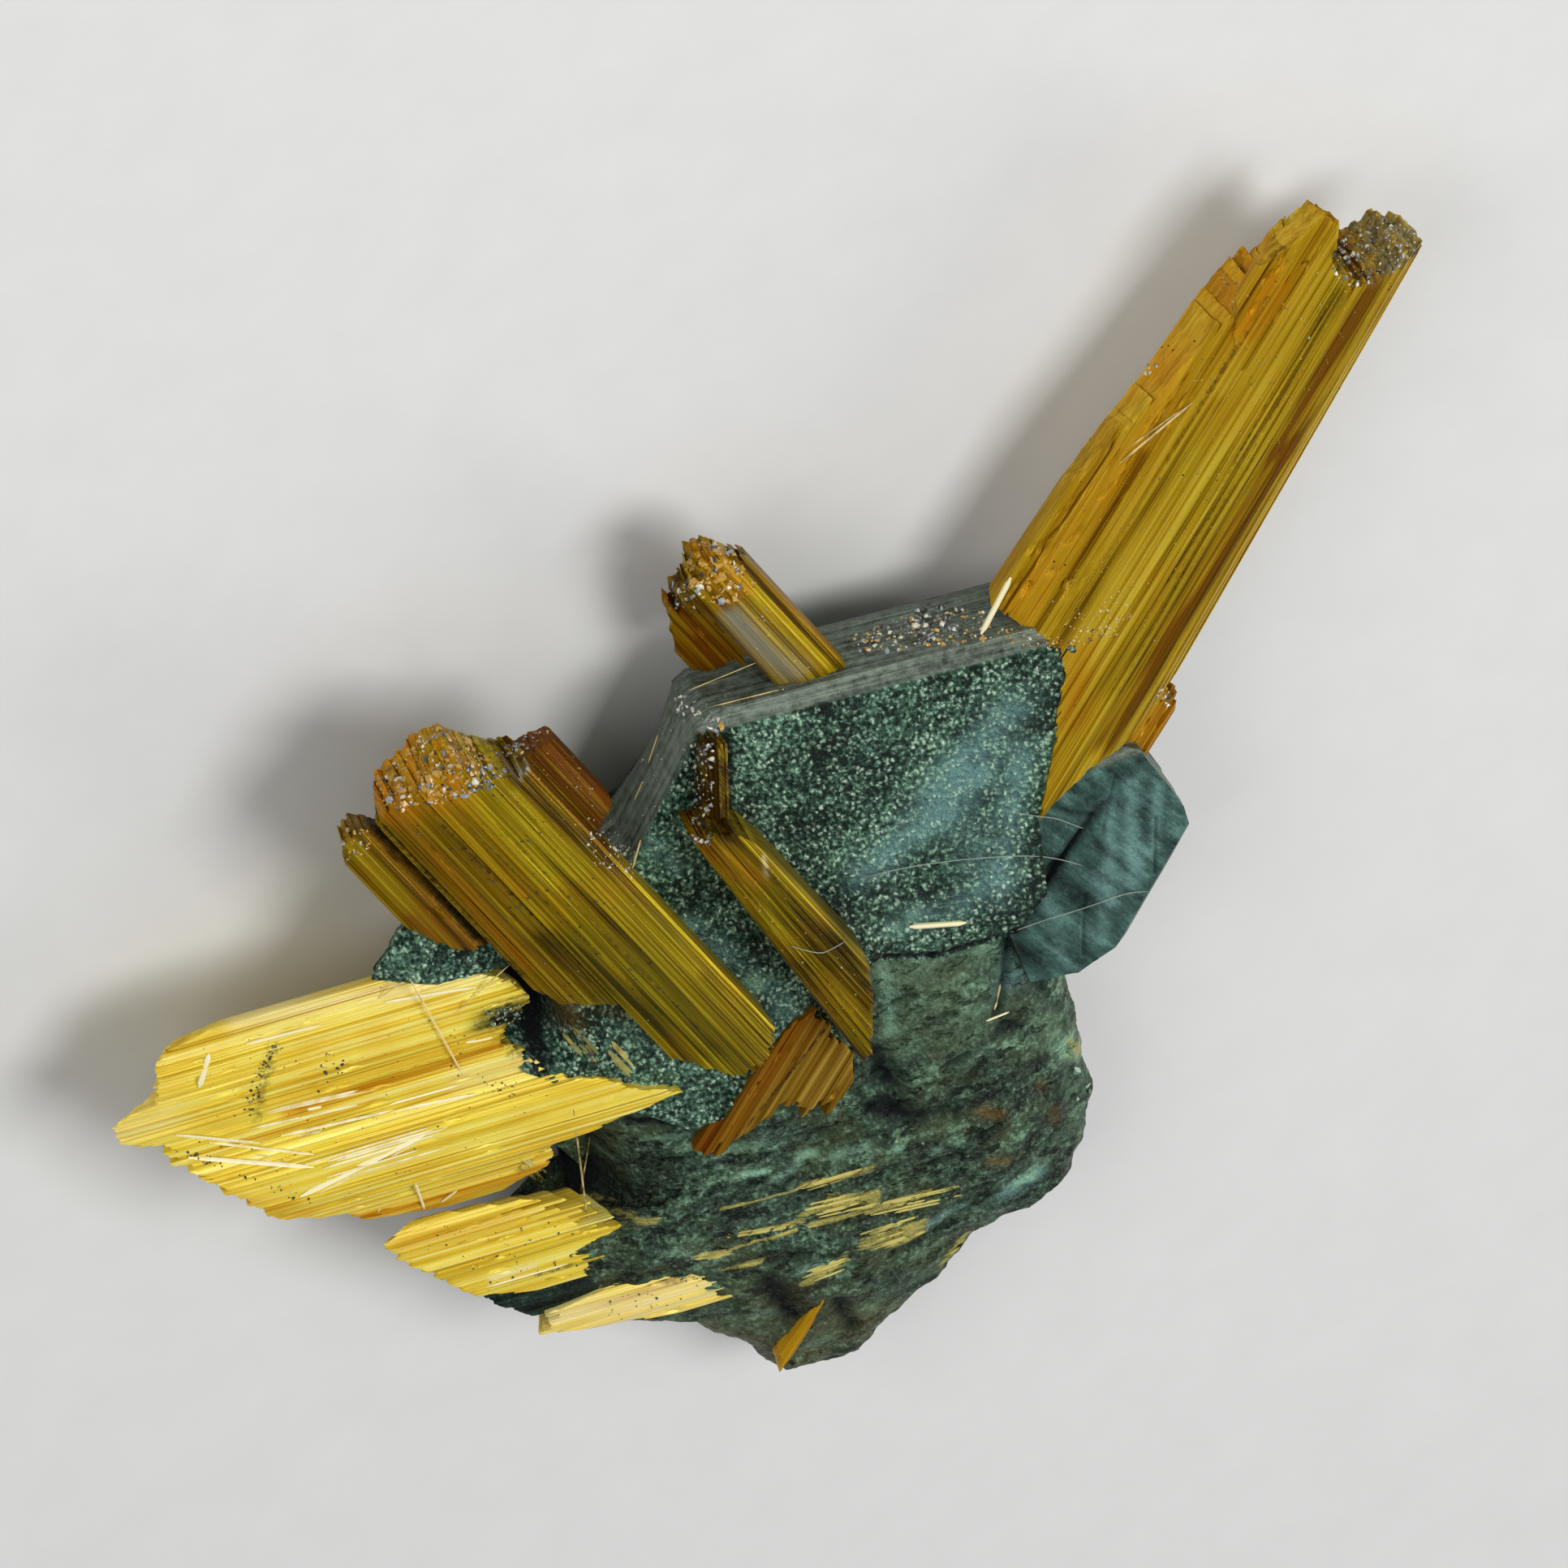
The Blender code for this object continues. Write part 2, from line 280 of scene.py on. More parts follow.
def tube_shell(sections: Array, paint: Paint) -> Shell:
    """Skin rods. Each rod is a row of sections, and each section a ring of points.

    The ring runs counterclockwise seen from the rod's far end, so that the skin faces outwards.

    Args:
        sections: Places as (rods, stations, ring, 3).
        paint: Layers as (rods, stations, ring).

    Returns:
        A shell with a closing face at both ends of each rod.
    """
    rods, stations, ring = sections.shape[:3]
    grid = np.arange(stations * ring).reshape(stations, ring)
    quad = cells_of(np.hstack((grid, grid[:, :1])))
    edge = 0.04
    quad_uv = cell_map(stations - 1, ring, (edge, 0.0), (1.0 - 2.0 * edge, 1.0))
    around = np.arange(ring)
    angle = 2.0 * np.pi * around / ring
    disc = np.stack((0.5 * edge + 0.45 * edge * np.cos(angle), 0.5 + 0.45 * np.sin(angle)), -1)
    near = around[::-1]
    far = (stations - 1) * ring + around
    one = np.concatenate((quad.ravel(), near, far))
    one_uv = np.concatenate((quad_uv, disc[::-1], disc + (1.0 - edge, 0.0)))
    sizes = np.concatenate((np.full(len(quad), 4), (ring, ring)))
    shift = np.arange(rods)[:, None] * stations * ring
    uv = np.tile(one_uv, (rods, 1, 1))
    uv[..., 1] = (uv[..., 1] * 0.94 + 0.03 + np.arange(rods)[:, None]) / rods
    return Shell(
        sections.reshape(-1, 3),
        (one[None] + shift).ravel(),
        np.tile(sizes, rods),
        uv.reshape(-1, 2),
        {layer: values.ravel() for layer, values in paint.items()},
    )


def make_piece(
    name: str, shell: Shell, material: Material, node: str = "", smooth: bool = True
) -> Object:
    """Turn a shell into a mesh object that rides on the specimen, and dress it.

    Args:
        name: Name of the piece.
        shell: Its surfaces, in millimetres.
        material: Its finish.
        node: The CAD node that it stands for, if it stands for one.
        smooth: Whether light runs smoothly over the faces.

    Returns:
        The new object.
    """
    mesh = bpy.data.meshes.new(name)
    mesh.vertices.add(len(shell.points))
    mesh.vertices.foreach_set("co", (shell.points * MM).astype(np.float32).ravel())
    mesh.loops.add(len(shell.corners))
    mesh.loops.foreach_set("vertex_index", shell.corners.astype(np.int32))
    mesh.polygons.add(len(shell.sizes))
    starts = np.concatenate(([0], np.cumsum(shell.sizes)[:-1]))
    mesh.polygons.foreach_set("loop_start", starts.astype(np.int32))
    mesh.polygons.foreach_set("use_smooth", np.full(len(shell.sizes), smooth))
    for layer, values in shell.paint.items():
        attribute = mesh.attributes.new(layer.value, "FLOAT", "POINT")
        attribute.data.foreach_set("value", values.astype(np.float32))
    mesh.update(calc_edges=True)
    layout = mesh.uv_layers.new(name="OFBake")
    layout.uv.foreach_set("vector", shell.uv.astype(np.float32).ravel())
    if smooth:
        mesh.set_sharp_from_angle(angle=math.radians(SHARP_ANGLE))
    mesh.materials.append(material)
    item = bpy.data.objects.new(name, mesh)
    bpy.context.scene.collection.objects.link(item)
    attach(item, BODY)
    if node:
        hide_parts(node)
    LOG.info("%s: %d points", name, len(shell.points))
    return item


@dataclass(frozen=True)
class Axis:
    """A crystal's root and heading."""

    root: Pair
    heading: float

    def place(self, along: Array, across: Array, height: Array) -> Array:
        """Turn (along, across, height) by the heading and shift it to the root.

        Args:
            along: Distance from the root towards the tip.
            across: Distance to the left of the heading.
            height: Height above the resting face.

        Returns:
            Places in the row frame, as (..., 3).
        """
        turn = math.radians(self.heading)
        x = self.root[0] + along * math.cos(turn) - across * math.sin(turn)
        y = self.root[1] + along * math.sin(turn) + across * math.cos(turn)
        return np.stack(np.broadcast_arrays(x, y, height), -1)


@dataclass(frozen=True)
class Band:
    """A striated block of rutile, made of parallel laths that grew side by side.

    Each row is (across, start, end, underside, top), and what lies between rows is interpolated.
    The block's edges lean by lean_low and lean_high mm across for each mm along.
    """

    rows: tuple[Five, ...]
    laths: int
    hinge: float = 0.0
    lean_low: float = 0.0
    lean_high: float = 0.0
    relief: float = 0.012
    striae: float = 0.004
    ragged: float = 0.06
    ragged_root: float = 0.04
    fracture: float = 0.05
    undercut: Pair = (0.15, 0.15)
    squeeze: float = 0.9
    chips: int = 0
    stations: int = 56
    tone: float = 0.4
    seed: int = 1

    ACROSS = 6
    LEVELS = 9

    def shell(self, axis: Axis, strokes: tuple[Stroke, ...]) -> Shell:
        """Build the block.

        A ring of points runs round the section: over the underside, up one side, over the top and
        down the other side. It is carried from the start to the end, and both ends are closed with
        a grid that is rough as a fracture. Each lath has its own height, start and end.

        Args:
            axis: Root and heading of the crystal.
            strokes: Marks, written as (along, across).

        Returns:
            One closed block.
        """
        source = np.random.default_rng(self.seed)
        rows = np.array(self.rows, float)
        low, high = rows[0, 0], rows[-1, 0]
        widths = source.uniform(0.3, 1.7, self.laths)
        edges = low + (high - low) * np.concatenate(([0.0], np.cumsum(widths) / widths.sum()))
        share = np.linspace(0.03, 0.97, self.ACROSS)
        across = (edges[:-1, None] + share * np.diff(edges)[:, None]).ravel()
        across[[0, -1]] = low, high
        lath = np.repeat(np.arange(self.laths), self.ACROSS)
        rise = source.normal(0.0, self.relief, self.laths).clip(-2.5 * self.relief, 1.6 * self.relief)
        ahead = source.normal(0.0, self.ragged, self.laths)
        behind = source.normal(0.0, self.ragged_root, self.laths)
        tint = source.normal(0.0, self.tone, self.laths)
        spots = source.uniform((0.08, low), (0.92, high), (self.chips, 2))
        sizes = source.uniform((0.04, 0.02, 0.01), (0.2, 0.06, 0.05), (self.chips, 3))
        noise = Noise(self.seed)

        def carve(w: Array, level: Array, part: Array, which: Array) -> Array:
            """Place points by their distance across, level from 0 to 1, share along and lath."""
            w, level, part, which = np.broadcast_arrays(w, level, part, which)
            start, end, under, top = (np.interp(w, rows[:, 0], rows[:, c]) for c in (1, 2, 3, 4))
            start = start + behind[which] + self.undercut[0] * (1.0 - level)
            end = end + ahead[which] - self.undercut[1] * (1.0 - level)
            t = start + part * (end - start)
            tall = top - under
            rough = noise.fractal(np.stack((w * 5.0, level * tall * 5.0, w * 0.0), -1), 3, 0.6)
            flip = noise.fractal(np.stack((w * 5.0, level * tall * 5.0, w * 0.0 + 9.0), -1), 3, 0.6)
            t = t + self.fracture * (rough * np.exp((t - end) / REACH) - flip * np.exp((start - t) / REACH))
            fine = noise.value(np.stack((t * 0.3, w * 34.0, level * 2.0), -1))
            wave = noise.value(np.stack((t * 0.5, which * 3.7, w * 0.0 + 4.0), -1))
            body = np.exp(-np.minimum(t - start, end - t).clip(0.0) / 0.03)
            z = under + level * tall
            z = z + level * (rise[which] * (1.0 + 0.5 * wave) + self.striae * fine - 0.015 * body)
            for (s0, w0), (long, wide, deep) in zip(spots, sizes):
                away = ((part - s0) * (end - start) / long) ** 2 + ((w - w0) / wide) ** 2
                z = z - level * deep * np.exp(-(away**3))
            middle = (low + high) / 2
            side = noise.value(np.stack((t * 0.25, level * tall * 9.0, np.sign(w - middle) * 5.0), -1))
            near = np.abs(w - middle) / (high - low) * 2.0
            bulge = np.sin(np.pi * level) * (0.03 + 0.02 * side) * near**8
            w = middle + (w - middle) * (self.squeeze + (1.0 - self.squeeze) * level.clip(0.0, 1.0) ** 0.5)
            w = w + np.sign(w - middle) * bulge
            lean = self.lean_low + (self.lean_high - self.lean_low) * (w - low) / (high - low)
            w = w + lean * (t - self.hinge)
            return np.stack((t, w, z, tint[which] + 0.3 * wave), -1)

        count, rise_rows = len(across), self.LEVELS
        climb = np.arange(1, rise_rows) / rise_rows
        sides = [np.full(rise_rows - 1, side) for side in (high, low)]
        ring_w = np.concatenate((across, sides[0], across[::-1], sides[1]))
        ring_level = np.concatenate((np.zeros(count), climb, np.ones(count), climb[::-1]))
        edge = np.full(rise_rows - 1, self.laths - 1)
        ring_lath = np.concatenate((lath, edge, lath[::-1], edge * 0))
        ring = len(ring_w)
        part = np.linspace(0.0, 1.0, self.stations)
        skin = carve(ring_w, ring_level, part[:, None], ring_lath).reshape(-1, 4)
        inner_level = 1.0 - climb[:, None]
        caps = [carve(across[1:-1], inner_level, end, lath[1:-1]).reshape(-1, 4) for end in (0.0, 1.0)]
        places = np.concatenate([skin] + caps)

        sheet = np.arange(self.stations * ring).reshape(self.stations, ring)
        faces = [cells_of(np.hstack((sheet, sheet[:, :1])))]
        layout = [cell_map(self.stations - 1, ring, (0.01, 0.01), (0.78, 0.98))]
        for cap in (0, 1):
            rim = sheet[-cap]
            grid = np.empty((rise_rows + 1, count), int)
            grid[0] = rim[count + rise_rows - 1 : ring - rise_rows + 1][::-1]
            grid[-1] = rim[:count]
            grid[1:-1, -1] = rim[count : count + rise_rows - 1][::-1]
            grid[1:-1, 0] = rim[1 - rise_rows :]
            inner = self.stations * ring + cap * len(caps[0]) + np.arange(len(caps[0]))
            grid[1:-1, 1:-1] = inner.reshape(rise_rows - 1, count - 2)
            cells = cells_of(grid, True)
            size = (0.08, 0.98)
            cap_uv = cell_map(rise_rows, count - 1, (0.81 + 0.1 * cap, 0.01), size, True).reshape(-1, 4, 2)
            if cap == 0:
                cells, cap_uv = cells[:, ::-1], cap_uv[:, ::-1]
            faces.append(cells)
            layout.append(cap_uv.reshape(-1, 2))
        quad = np.concatenate(faces)

        t, w, z, tone = places.T
        paint = {Layer.TONE: tone}
        flat = np.stack((t, w), -1)
        streak = 0.75 + 0.5 * noise.value(np.stack((t * 0.8, w * 9.0, z * 3.0), -1))
        for stroke in strokes:
            paint[stroke.layer] = paint.get(stroke.layer, 0.0) + stroke.mask(flat) * streak
        return Shell(
            axis.place(t, w, z), quad.ravel(), np.full(len(quad), 4), np.concatenate(layout), paint
        )


@dataclass(frozen=True)
class Mound:
    """A closed slab of hematite: a top that follows a height, walls in rings, and a flat underside.

    The top is a square grid wrapped onto the outline: the grid's rings become copies of the
    outline that shrink towards the centre, so its cells stay about the same size all over.
    """

    outline: Outline
    centre: Pair
    cells: int
    walls: Outline
    rings: int
    seed: int
    jag: float = 0.0
    cut: float = 0.08
    tucks: tuple[tuple[float, float, float, float], ...] = ()
    hollows: tuple[Five, ...] = ()
    strokes: tuple[Stroke, ...] = ()

    def rim(self, turn: Array) -> Array:
        """Return places on the outline for shares of its length, counterclockwise.

        Args:
            turn: Shares from 0 to 1.

        Returns:
            Places as (..., 2).
        """
        points = np.array(self.outline)
        after = np.roll(points, -1, axis=0)
        if np.sum(points[:, 0] * after[:, 1] - after[:, 0] * points[:, 1]) < 0.0:
            points = points[::-1]
        closed = np.vstack((points, points[:1]))
        passed = passed_along(closed)
        wanted = (turn % 1.0) * passed[-1]
        place = np.stack([np.interp(wanted, passed, closed[:, axis]) for axis in (0, 1)], -1)
        noise = Noise(self.seed + 7)
        spot = np.concatenate((place * 2.0, place[..., :1] * 0.0), -1)
        wander = np.stack([noise.fractal(spot + shift, 4, 0.6) for shift in (0.0, 11.0)], -1)
        return place + self.jag * wander

    def sink(self, flat: Array) -> Array:
        """Return how deep the hollows and the dark cracks lie at each place seen from above."""
        deep = np.zeros(len(flat))
        for x, y, wide, tall, down in self.hollows:
            away = ((flat[:, 0] - x) / wide) ** 2 + ((flat[:, 1] - y) / tall) ** 2
            deep += down * np.exp(-(away**1.5))
        # The soil strokes are cut in as grooves here, and the finish paints the same strokes dark: painted
        # shade in the grooves
        for stroke in self.strokes:
            if stroke.layer is Layer.SOIL:
                deep += self.cut * stroke.mask(flat)
        return deep

    def grid(self) -> tuple[Array, Array, Array]:
        """Wrap the square grid onto the outline.

        Returns:
            Each grid point's ring from 0 at the centre to 1 at the rim, its share of the turn,
            and the indices of the rim's points in order.
        """
        side = self.cells + 1
        b, a = np.meshgrid(np.linspace(-1.0, 1.0, side), np.linspace(-1.0, 1.0, side), indexing="ij")
        ring = np.maximum(np.abs(a), np.abs(b))
        safe = np.maximum(ring, 1e-9)
        edge = safe - 1e-9
        turn = np.select(
            (b <= -edge, a >= edge, b >= edge, a <= -edge),
            (1.0 + a / safe, 3.0 + b / safe, 5.0 - a / safe, 7.0 - b / safe),
        ) / 8.0
        index = np.arange(side * side).reshape(side, side)
        loop = np.concatenate((index[0, :-1], index[:-1, -1], index[-1, :0:-1], index[:0:-1, 0]))
        return ring.ravel(), turn.ravel(), loop

    def height(self, flat: Array, ring: Array) -> Array:
        """Return the top's height at each place; each kind of mound has its own."""
        raise NotImplementedError

    def relief(self, places: Array, depth: Array) -> Array:
        """Return how far the wall stands out at each place; depth runs from 0 at the rim to 1."""
        return np.zeros(len(places))

    def colour(self, shell: Shell) -> Paint:
        """Return the painted layers; a plain mound has none."""
        return {}

    def shell(self) -> Shell:
        """Build the slab.

        Returns:
            A closed shell: the top's grid, the rings of the wall below it, and the closing face.
        """
        side = self.cells + 1
        ring, turn, loop = self.grid()
        centre = np.array(self.centre)
        flat = centre + (self.rim(turn) - centre) * ring[:, None]
        top = np.column_stack((flat, self.height(flat, ring)))
        order = turn[loop]
        rim = self.rim(order)
        ahead = self.rim(order + 1e-3) - self.rim(order - 1e-3)
        ahead /= np.linalg.norm(ahead, axis=1, keepdims=True)
        outward = np.column_stack((ahead[:, 1], -ahead[:, 0]))
        walls = np.array(self.walls)
        depth = np.linspace(0.0, 1.0, self.rings + 1)[1:]
        stops = np.linspace(0.0, 1.0, len(walls))
        share = np.interp(depth, stops, walls[:, 0])
        level = np.interp(depth, stops, walls[:, 1])
        rim_z = top[loop, 2]
        drop = rim_z - walls[0, 1]
        base = centre + (rim - centre) * share[:, None, None]
        for x, y, reach, inward in self.tucks:
            near = np.exp(-(((rim[:, 0] - x) ** 2 + (rim[:, 1] - y) ** 2) / reach**2))
            base = base - outward[:, :2] * (inward * near * depth[:, None] ** 3)[..., None]
        heights = level[:, None] + drop * (1.0 - depth[:, None]) ** 2
        places = np.concatenate((base, heights[:, :, None]), -1).reshape(-1, 3)
        deep = np.repeat(depth, len(loop))
        stand = self.relief(places, deep) * np.sin(np.pi * deep.clip(0.0, 1.0)) ** 0.5
        places[:, :2] += np.tile(outward, (self.rings, 1)) * stand[:, None]
        points = np.concatenate((top, places))

        index = np.arange(side * side).reshape(side, side)
        quads = cells_of(index)
        ladder = np.vstack((loop, side * side + np.arange(self.rings * len(loop)).reshape(self.rings, -1)))
        wall = cells_of(np.hstack((ladder, ladder[:, :1])), True)
        bottom = ladder[-1][::-1]

        grid_uv = np.stack(np.meshgrid(np.linspace(0, 1, side), np.linspace(0, 1, side)), -1).reshape(-1, 2)
        top_uv = grid_uv[quads].reshape(-1, 2) * (0.78, 0.98) + (0.005, 0.01)
        wall_uv = cell_map(self.rings, len(loop), (0.80, 0.01), (0.15, 0.98), True)
        last = points[bottom, :2]
        last = (last - last.min(0)) / np.ptp(last, axis=0) * (0.035, 0.98) + (0.96, 0.01)
        shell = Shell(
            points,
            np.concatenate((quads.ravel(), wall.ravel(), bottom)),
            np.concatenate((np.full(len(quads) + len(wall), 4), [len(bottom)])),
            np.concatenate((top_uv, wall_uv, last)),
            {},
        )
        shell.paint = self.colour(shell)
        return shell


def paint_strokes(flat: Array, strokes: tuple[Stroke, ...]) -> Paint:
    """Add up marks on places seen from above.

    Args:
        flat: Places as (n, 2).
        strokes: The marks.

    Returns:
        One array for each painted layer.
    """
    paint: Paint = {}
    for stroke in strokes:
        paint[stroke.layer] = paint.get(stroke.layer, np.zeros(len(flat))) + stroke.mask(flat)
    return paint


# ---- finishes


class Graph:
    """Places and joins shader nodes in one tree."""

    def __init__(self, tree: NodeTree) -> None:
        """Keep the tree that nodes go into."""
        self.tree = tree

    def add(self, kind: str, **settings: object) -> Node:
        """Place a node and set its properties."""
        node = self.tree.nodes.new("ShaderNode" + kind)
        for name, value in settings.items():
            setattr(node, name, value)
        return node

    def put(self, socket: Socket, value: object) -> None:
        """Join a socket to an input, or set the input to a constant."""
        if isinstance(value, Socket):
            self.tree.links.new(value, socket)
        else:
            socket.default_value = value

    def feed(self, node: Node, **values: object) -> Node:
        """Join or set a node's inputs; base_color stands for Base Color."""
        for name, value in values.items():
            self.put(node.inputs[name.replace("_", " ").title()], value)
        return node

    def maths(self, operation: str, a: object, b: object = 0.0, clamp: bool = False) -> Socket:
        """Return the result of a maths node."""
        node = self.add("Math", operation=operation, use_clamp=clamp)
        self.put(node.inputs[0], a)
        self.put(node.inputs[1], b)
        return node.outputs[0]

    def plus(self, a: object, b: object, clamp: bool = False) -> Socket:
        """Return a sum."""
        return self.maths("ADD", a, b, clamp)

    def times(self, a: object, b: object, clamp: bool = False) -> Socket:
        """Return a product."""
        return self.maths("MULTIPLY", a, b, clamp)

    def scaled(self, value: object, factor: float, shift: float) -> Socket:
        """Return a value times a factor, plus a shift."""
        product = self.maths("MULTIPLY_ADD", value, factor)
        product.node.inputs[2].default_value = shift
        return product

    def blend(self, share: object, a: object, b: object) -> Socket:
        """Return a mix of two colours."""
        node = self.add("Mix", data_type="RGBA")
        self.put(node.inputs[0], share)
        self.put(node.inputs[6], rgba(a))
        self.put(node.inputs[7], rgba(b))
        return node.outputs[2]

    def noise(self, vector: object, scale: float, detail: float = 2.0, rough: float = 0.5) -> Socket:
        """Return the value of a noise node."""
        node = self.add("TexNoise")
        return self.feed(node, vector=vector, scale=scale, detail=detail, roughness=rough).outputs["Fac"]

    def cells(self, vector: object, scale: float) -> Node:
        """Return a Voronoi node, which gives the distance to the nearest cell centre."""
        return self.feed(self.add("TexVoronoi"), vector=vector, scale=scale)

    def stretch(self, vector: object, scale: Triple, turn: float = 0.0) -> Socket:
        """Return a vector that is scaled and then turned about Z."""
        angles = (0.0, 0.0, math.radians(turn))
        return self.feed(self.add("Mapping"), vector=vector, rotation=angles, scale=scale).outputs[0]

    def span(
        self, value: object, low: float, high: float, to_low: float = 0.0, to_high: float = 1.0
    ) -> Socket:
        """Return a value carried from one range to another, held at its ends."""
        node = self.add("MapRange")
        self.put(node.inputs[0], value)
        return self.feed(node, from_min=low, from_max=high, to_min=to_low, to_max=to_high).outputs[0]

    def ramp(self, value: object, colours: tuple[Triple, ...]) -> Socket:
        """Return a colour from an even row of colours."""
        node = self.add("ValToRGB")
        self.put(node.inputs[0], value)
        row = node.color_ramp.elements
        while len(row) < len(colours):
            row.new(0.5)
        for index, colour in enumerate(colours):
            row[index].position = index / (len(colours) - 1)
            row[index].color = (*colour, 1.0)
        return node.outputs[0]

    def paint(self, layer: Layer) -> Socket:
        """Return a painted layer."""
        return self.add("Attribute", attribute_name=layer.value).outputs["Fac"]

    def full(self, layer: Layer) -> Socket:
        """Return a painted layer, held between 0 and 1."""
        return self.maths("MINIMUM", self.paint(layer), 1.0, True)

    def bump(self, shader: Node, height: Socket, strength: float, depth: float) -> None:
        """Raise a bump on a shader's normal.

        Args:
            shader: The shader.
            height: The bump's height, from 0 to about 1.
            strength: Its strength.
            depth: Its depth in millimetres.
        """
        node = self.feed(self.add("Bump"), strength=strength, distance=depth * MM, height=height)
        self.feed(shader, normal=node.outputs[0])

    def group(self, tree: NodeTree, **values: object) -> Node:
        """Place a node group with its own values."""
        return self.feed(self.add("Group", node_tree=tree), **values)


def rgba(value: object) -> object:
    """Give a colour of three numbers its alpha, and leave a socket alone."""
    if isinstance(value, Socket) or len(value) == 4:
        return value
    return (*value, 1.0)


def new_group(name: str, inputs: dict[str, str], outputs: tuple[str, ...]) -> tuple[Graph, Node, Node]:
    """Make an empty node group.

    Args:
        name: Name of the group.
        inputs: Name of each input, with its socket type.
        outputs: Names of the outputs, which are values.

    Returns:
        The group's graph, its input node and its output node.
    """
    tree = bpy.data.node_groups.new(name, "ShaderNodeTree")
    for title, kind in inputs.items():
        tree.interface.new_socket(name=title, in_out="INPUT", socket_type=kind)
    for title in outputs:
        tree.interface.new_socket(name=title, in_out="OUTPUT", socket_type="NodeSocketFloat")
    graph = Graph(tree)
    return graph, tree.nodes.new("NodeGroupInput"), tree.nodes.new("NodeGroupOutput")


def striae_group() -> NodeTree:
    """Lines that run along a crystal: fine ones, and broad ones that fade in and out."""
    graph, given, result = new_group("striae", {"Vector": "NodeSocketVector"}, ("Fine", "Broad"))
    vector = given.outputs["Vector"]
    fine = graph.noise(graph.stretch(vector, (0.35, 34.0, 34.0)), 1.0, 2.0, 0.6)
    broad = graph.noise(graph.stretch(vector, (0.16, 7.0, 7.0)), 1.0, 2.0, 0.55)
    graph.feed(result, fine=graph.span(fine, 0.28, 0.72), broad=graph.span(broad, 0.3, 0.7))
    return graph.tree


def specks_group() -> NodeTree:
    """Small dark grains, in clusters."""
    graph, given, result = new_group(
        "specks", {"Vector": "NodeSocketVector", "Amount": "NodeSocketFloat"}, ("Mask",)
    )
    vector = given.outputs["Vector"]
    cells = graph.cells(vector, 7.0)
    cluster = graph.noise(vector, 0.9, 3.0, 0.6)
    size = graph.times(graph.span(cluster, 0.5, 0.75, 0.0, 0.42), given.outputs["Amount"])
    graph.feed(result, mask=graph.maths("LESS_THAN", cells.outputs["Distance"], size))
    return graph.tree


def pebbles_group() -> NodeTree:
    """The grain of a hematite face: tiny humps, some of which carry a painted glint."""
    graph, given, result = new_group("pebbles", {"Vector": "NodeSocketVector"}, ("Height", "Glint"))
    vector = graph.stretch(given.outputs["Vector"], (1.0, 0.7, 1.0), 22.0)
    swirl = graph.feed(graph.add("TexNoise"), scale=9.0, vector=vector)
    bent = graph.add("VectorMath", operation="MULTIPLY_ADD")
    graph.put(bent.inputs[0], swirl.outputs["Color"])
    bent.inputs[1].default_value = (0.12, 0.12, 0.12)
    graph.put(bent.inputs[2], vector)
    humps = graph.cells(bent.outputs[0], 12.5)
    crumbs = graph.noise(vector, 15.0, 3.0, 0.7)
    dip = graph.times(humps.outputs["Distance"], 1.1)
    height = graph.maths("SUBTRACT", graph.span(crumbs, 0.3, 0.7), dip)
    chance = graph.add("SeparateColor")
    graph.put(chance.inputs[0], humps.outputs["Color"])
    lit = graph.span(chance.outputs[0], 0.25, 0.8)
    near = graph.span(humps.outputs["Distance"], 0.5, 0.22)
    glint = graph.times(lit, near)
    graph.feed(result, height=height, glint=graph.times(glint, graph.span(crumbs, 0.36, 0.56)))
    return graph.tree


GROUPS = {"striae": striae_group(), "specks": specks_group(), "pebbles": pebbles_group()}


def new_material(name: str) -> tuple[Graph, Material, Node, Socket]:
    """Make a material with a Principled shader, and millimetre coordinates for its patterns.

    Args:
        name: Name of the material.

    Returns:
        Its graph, the material, the shader node and the coordinates.
    """
    material = bpy.data.materials.new(name)
    material.use_nodes = True
    graph = Graph(material.node_tree)
    shader = material.node_tree.nodes["Principled BSDF"]
    place = graph.add("TexCoord").outputs["Object"]
    return graph, material, shader, graph.stretch(place, (1.0 / MM,) * 3)


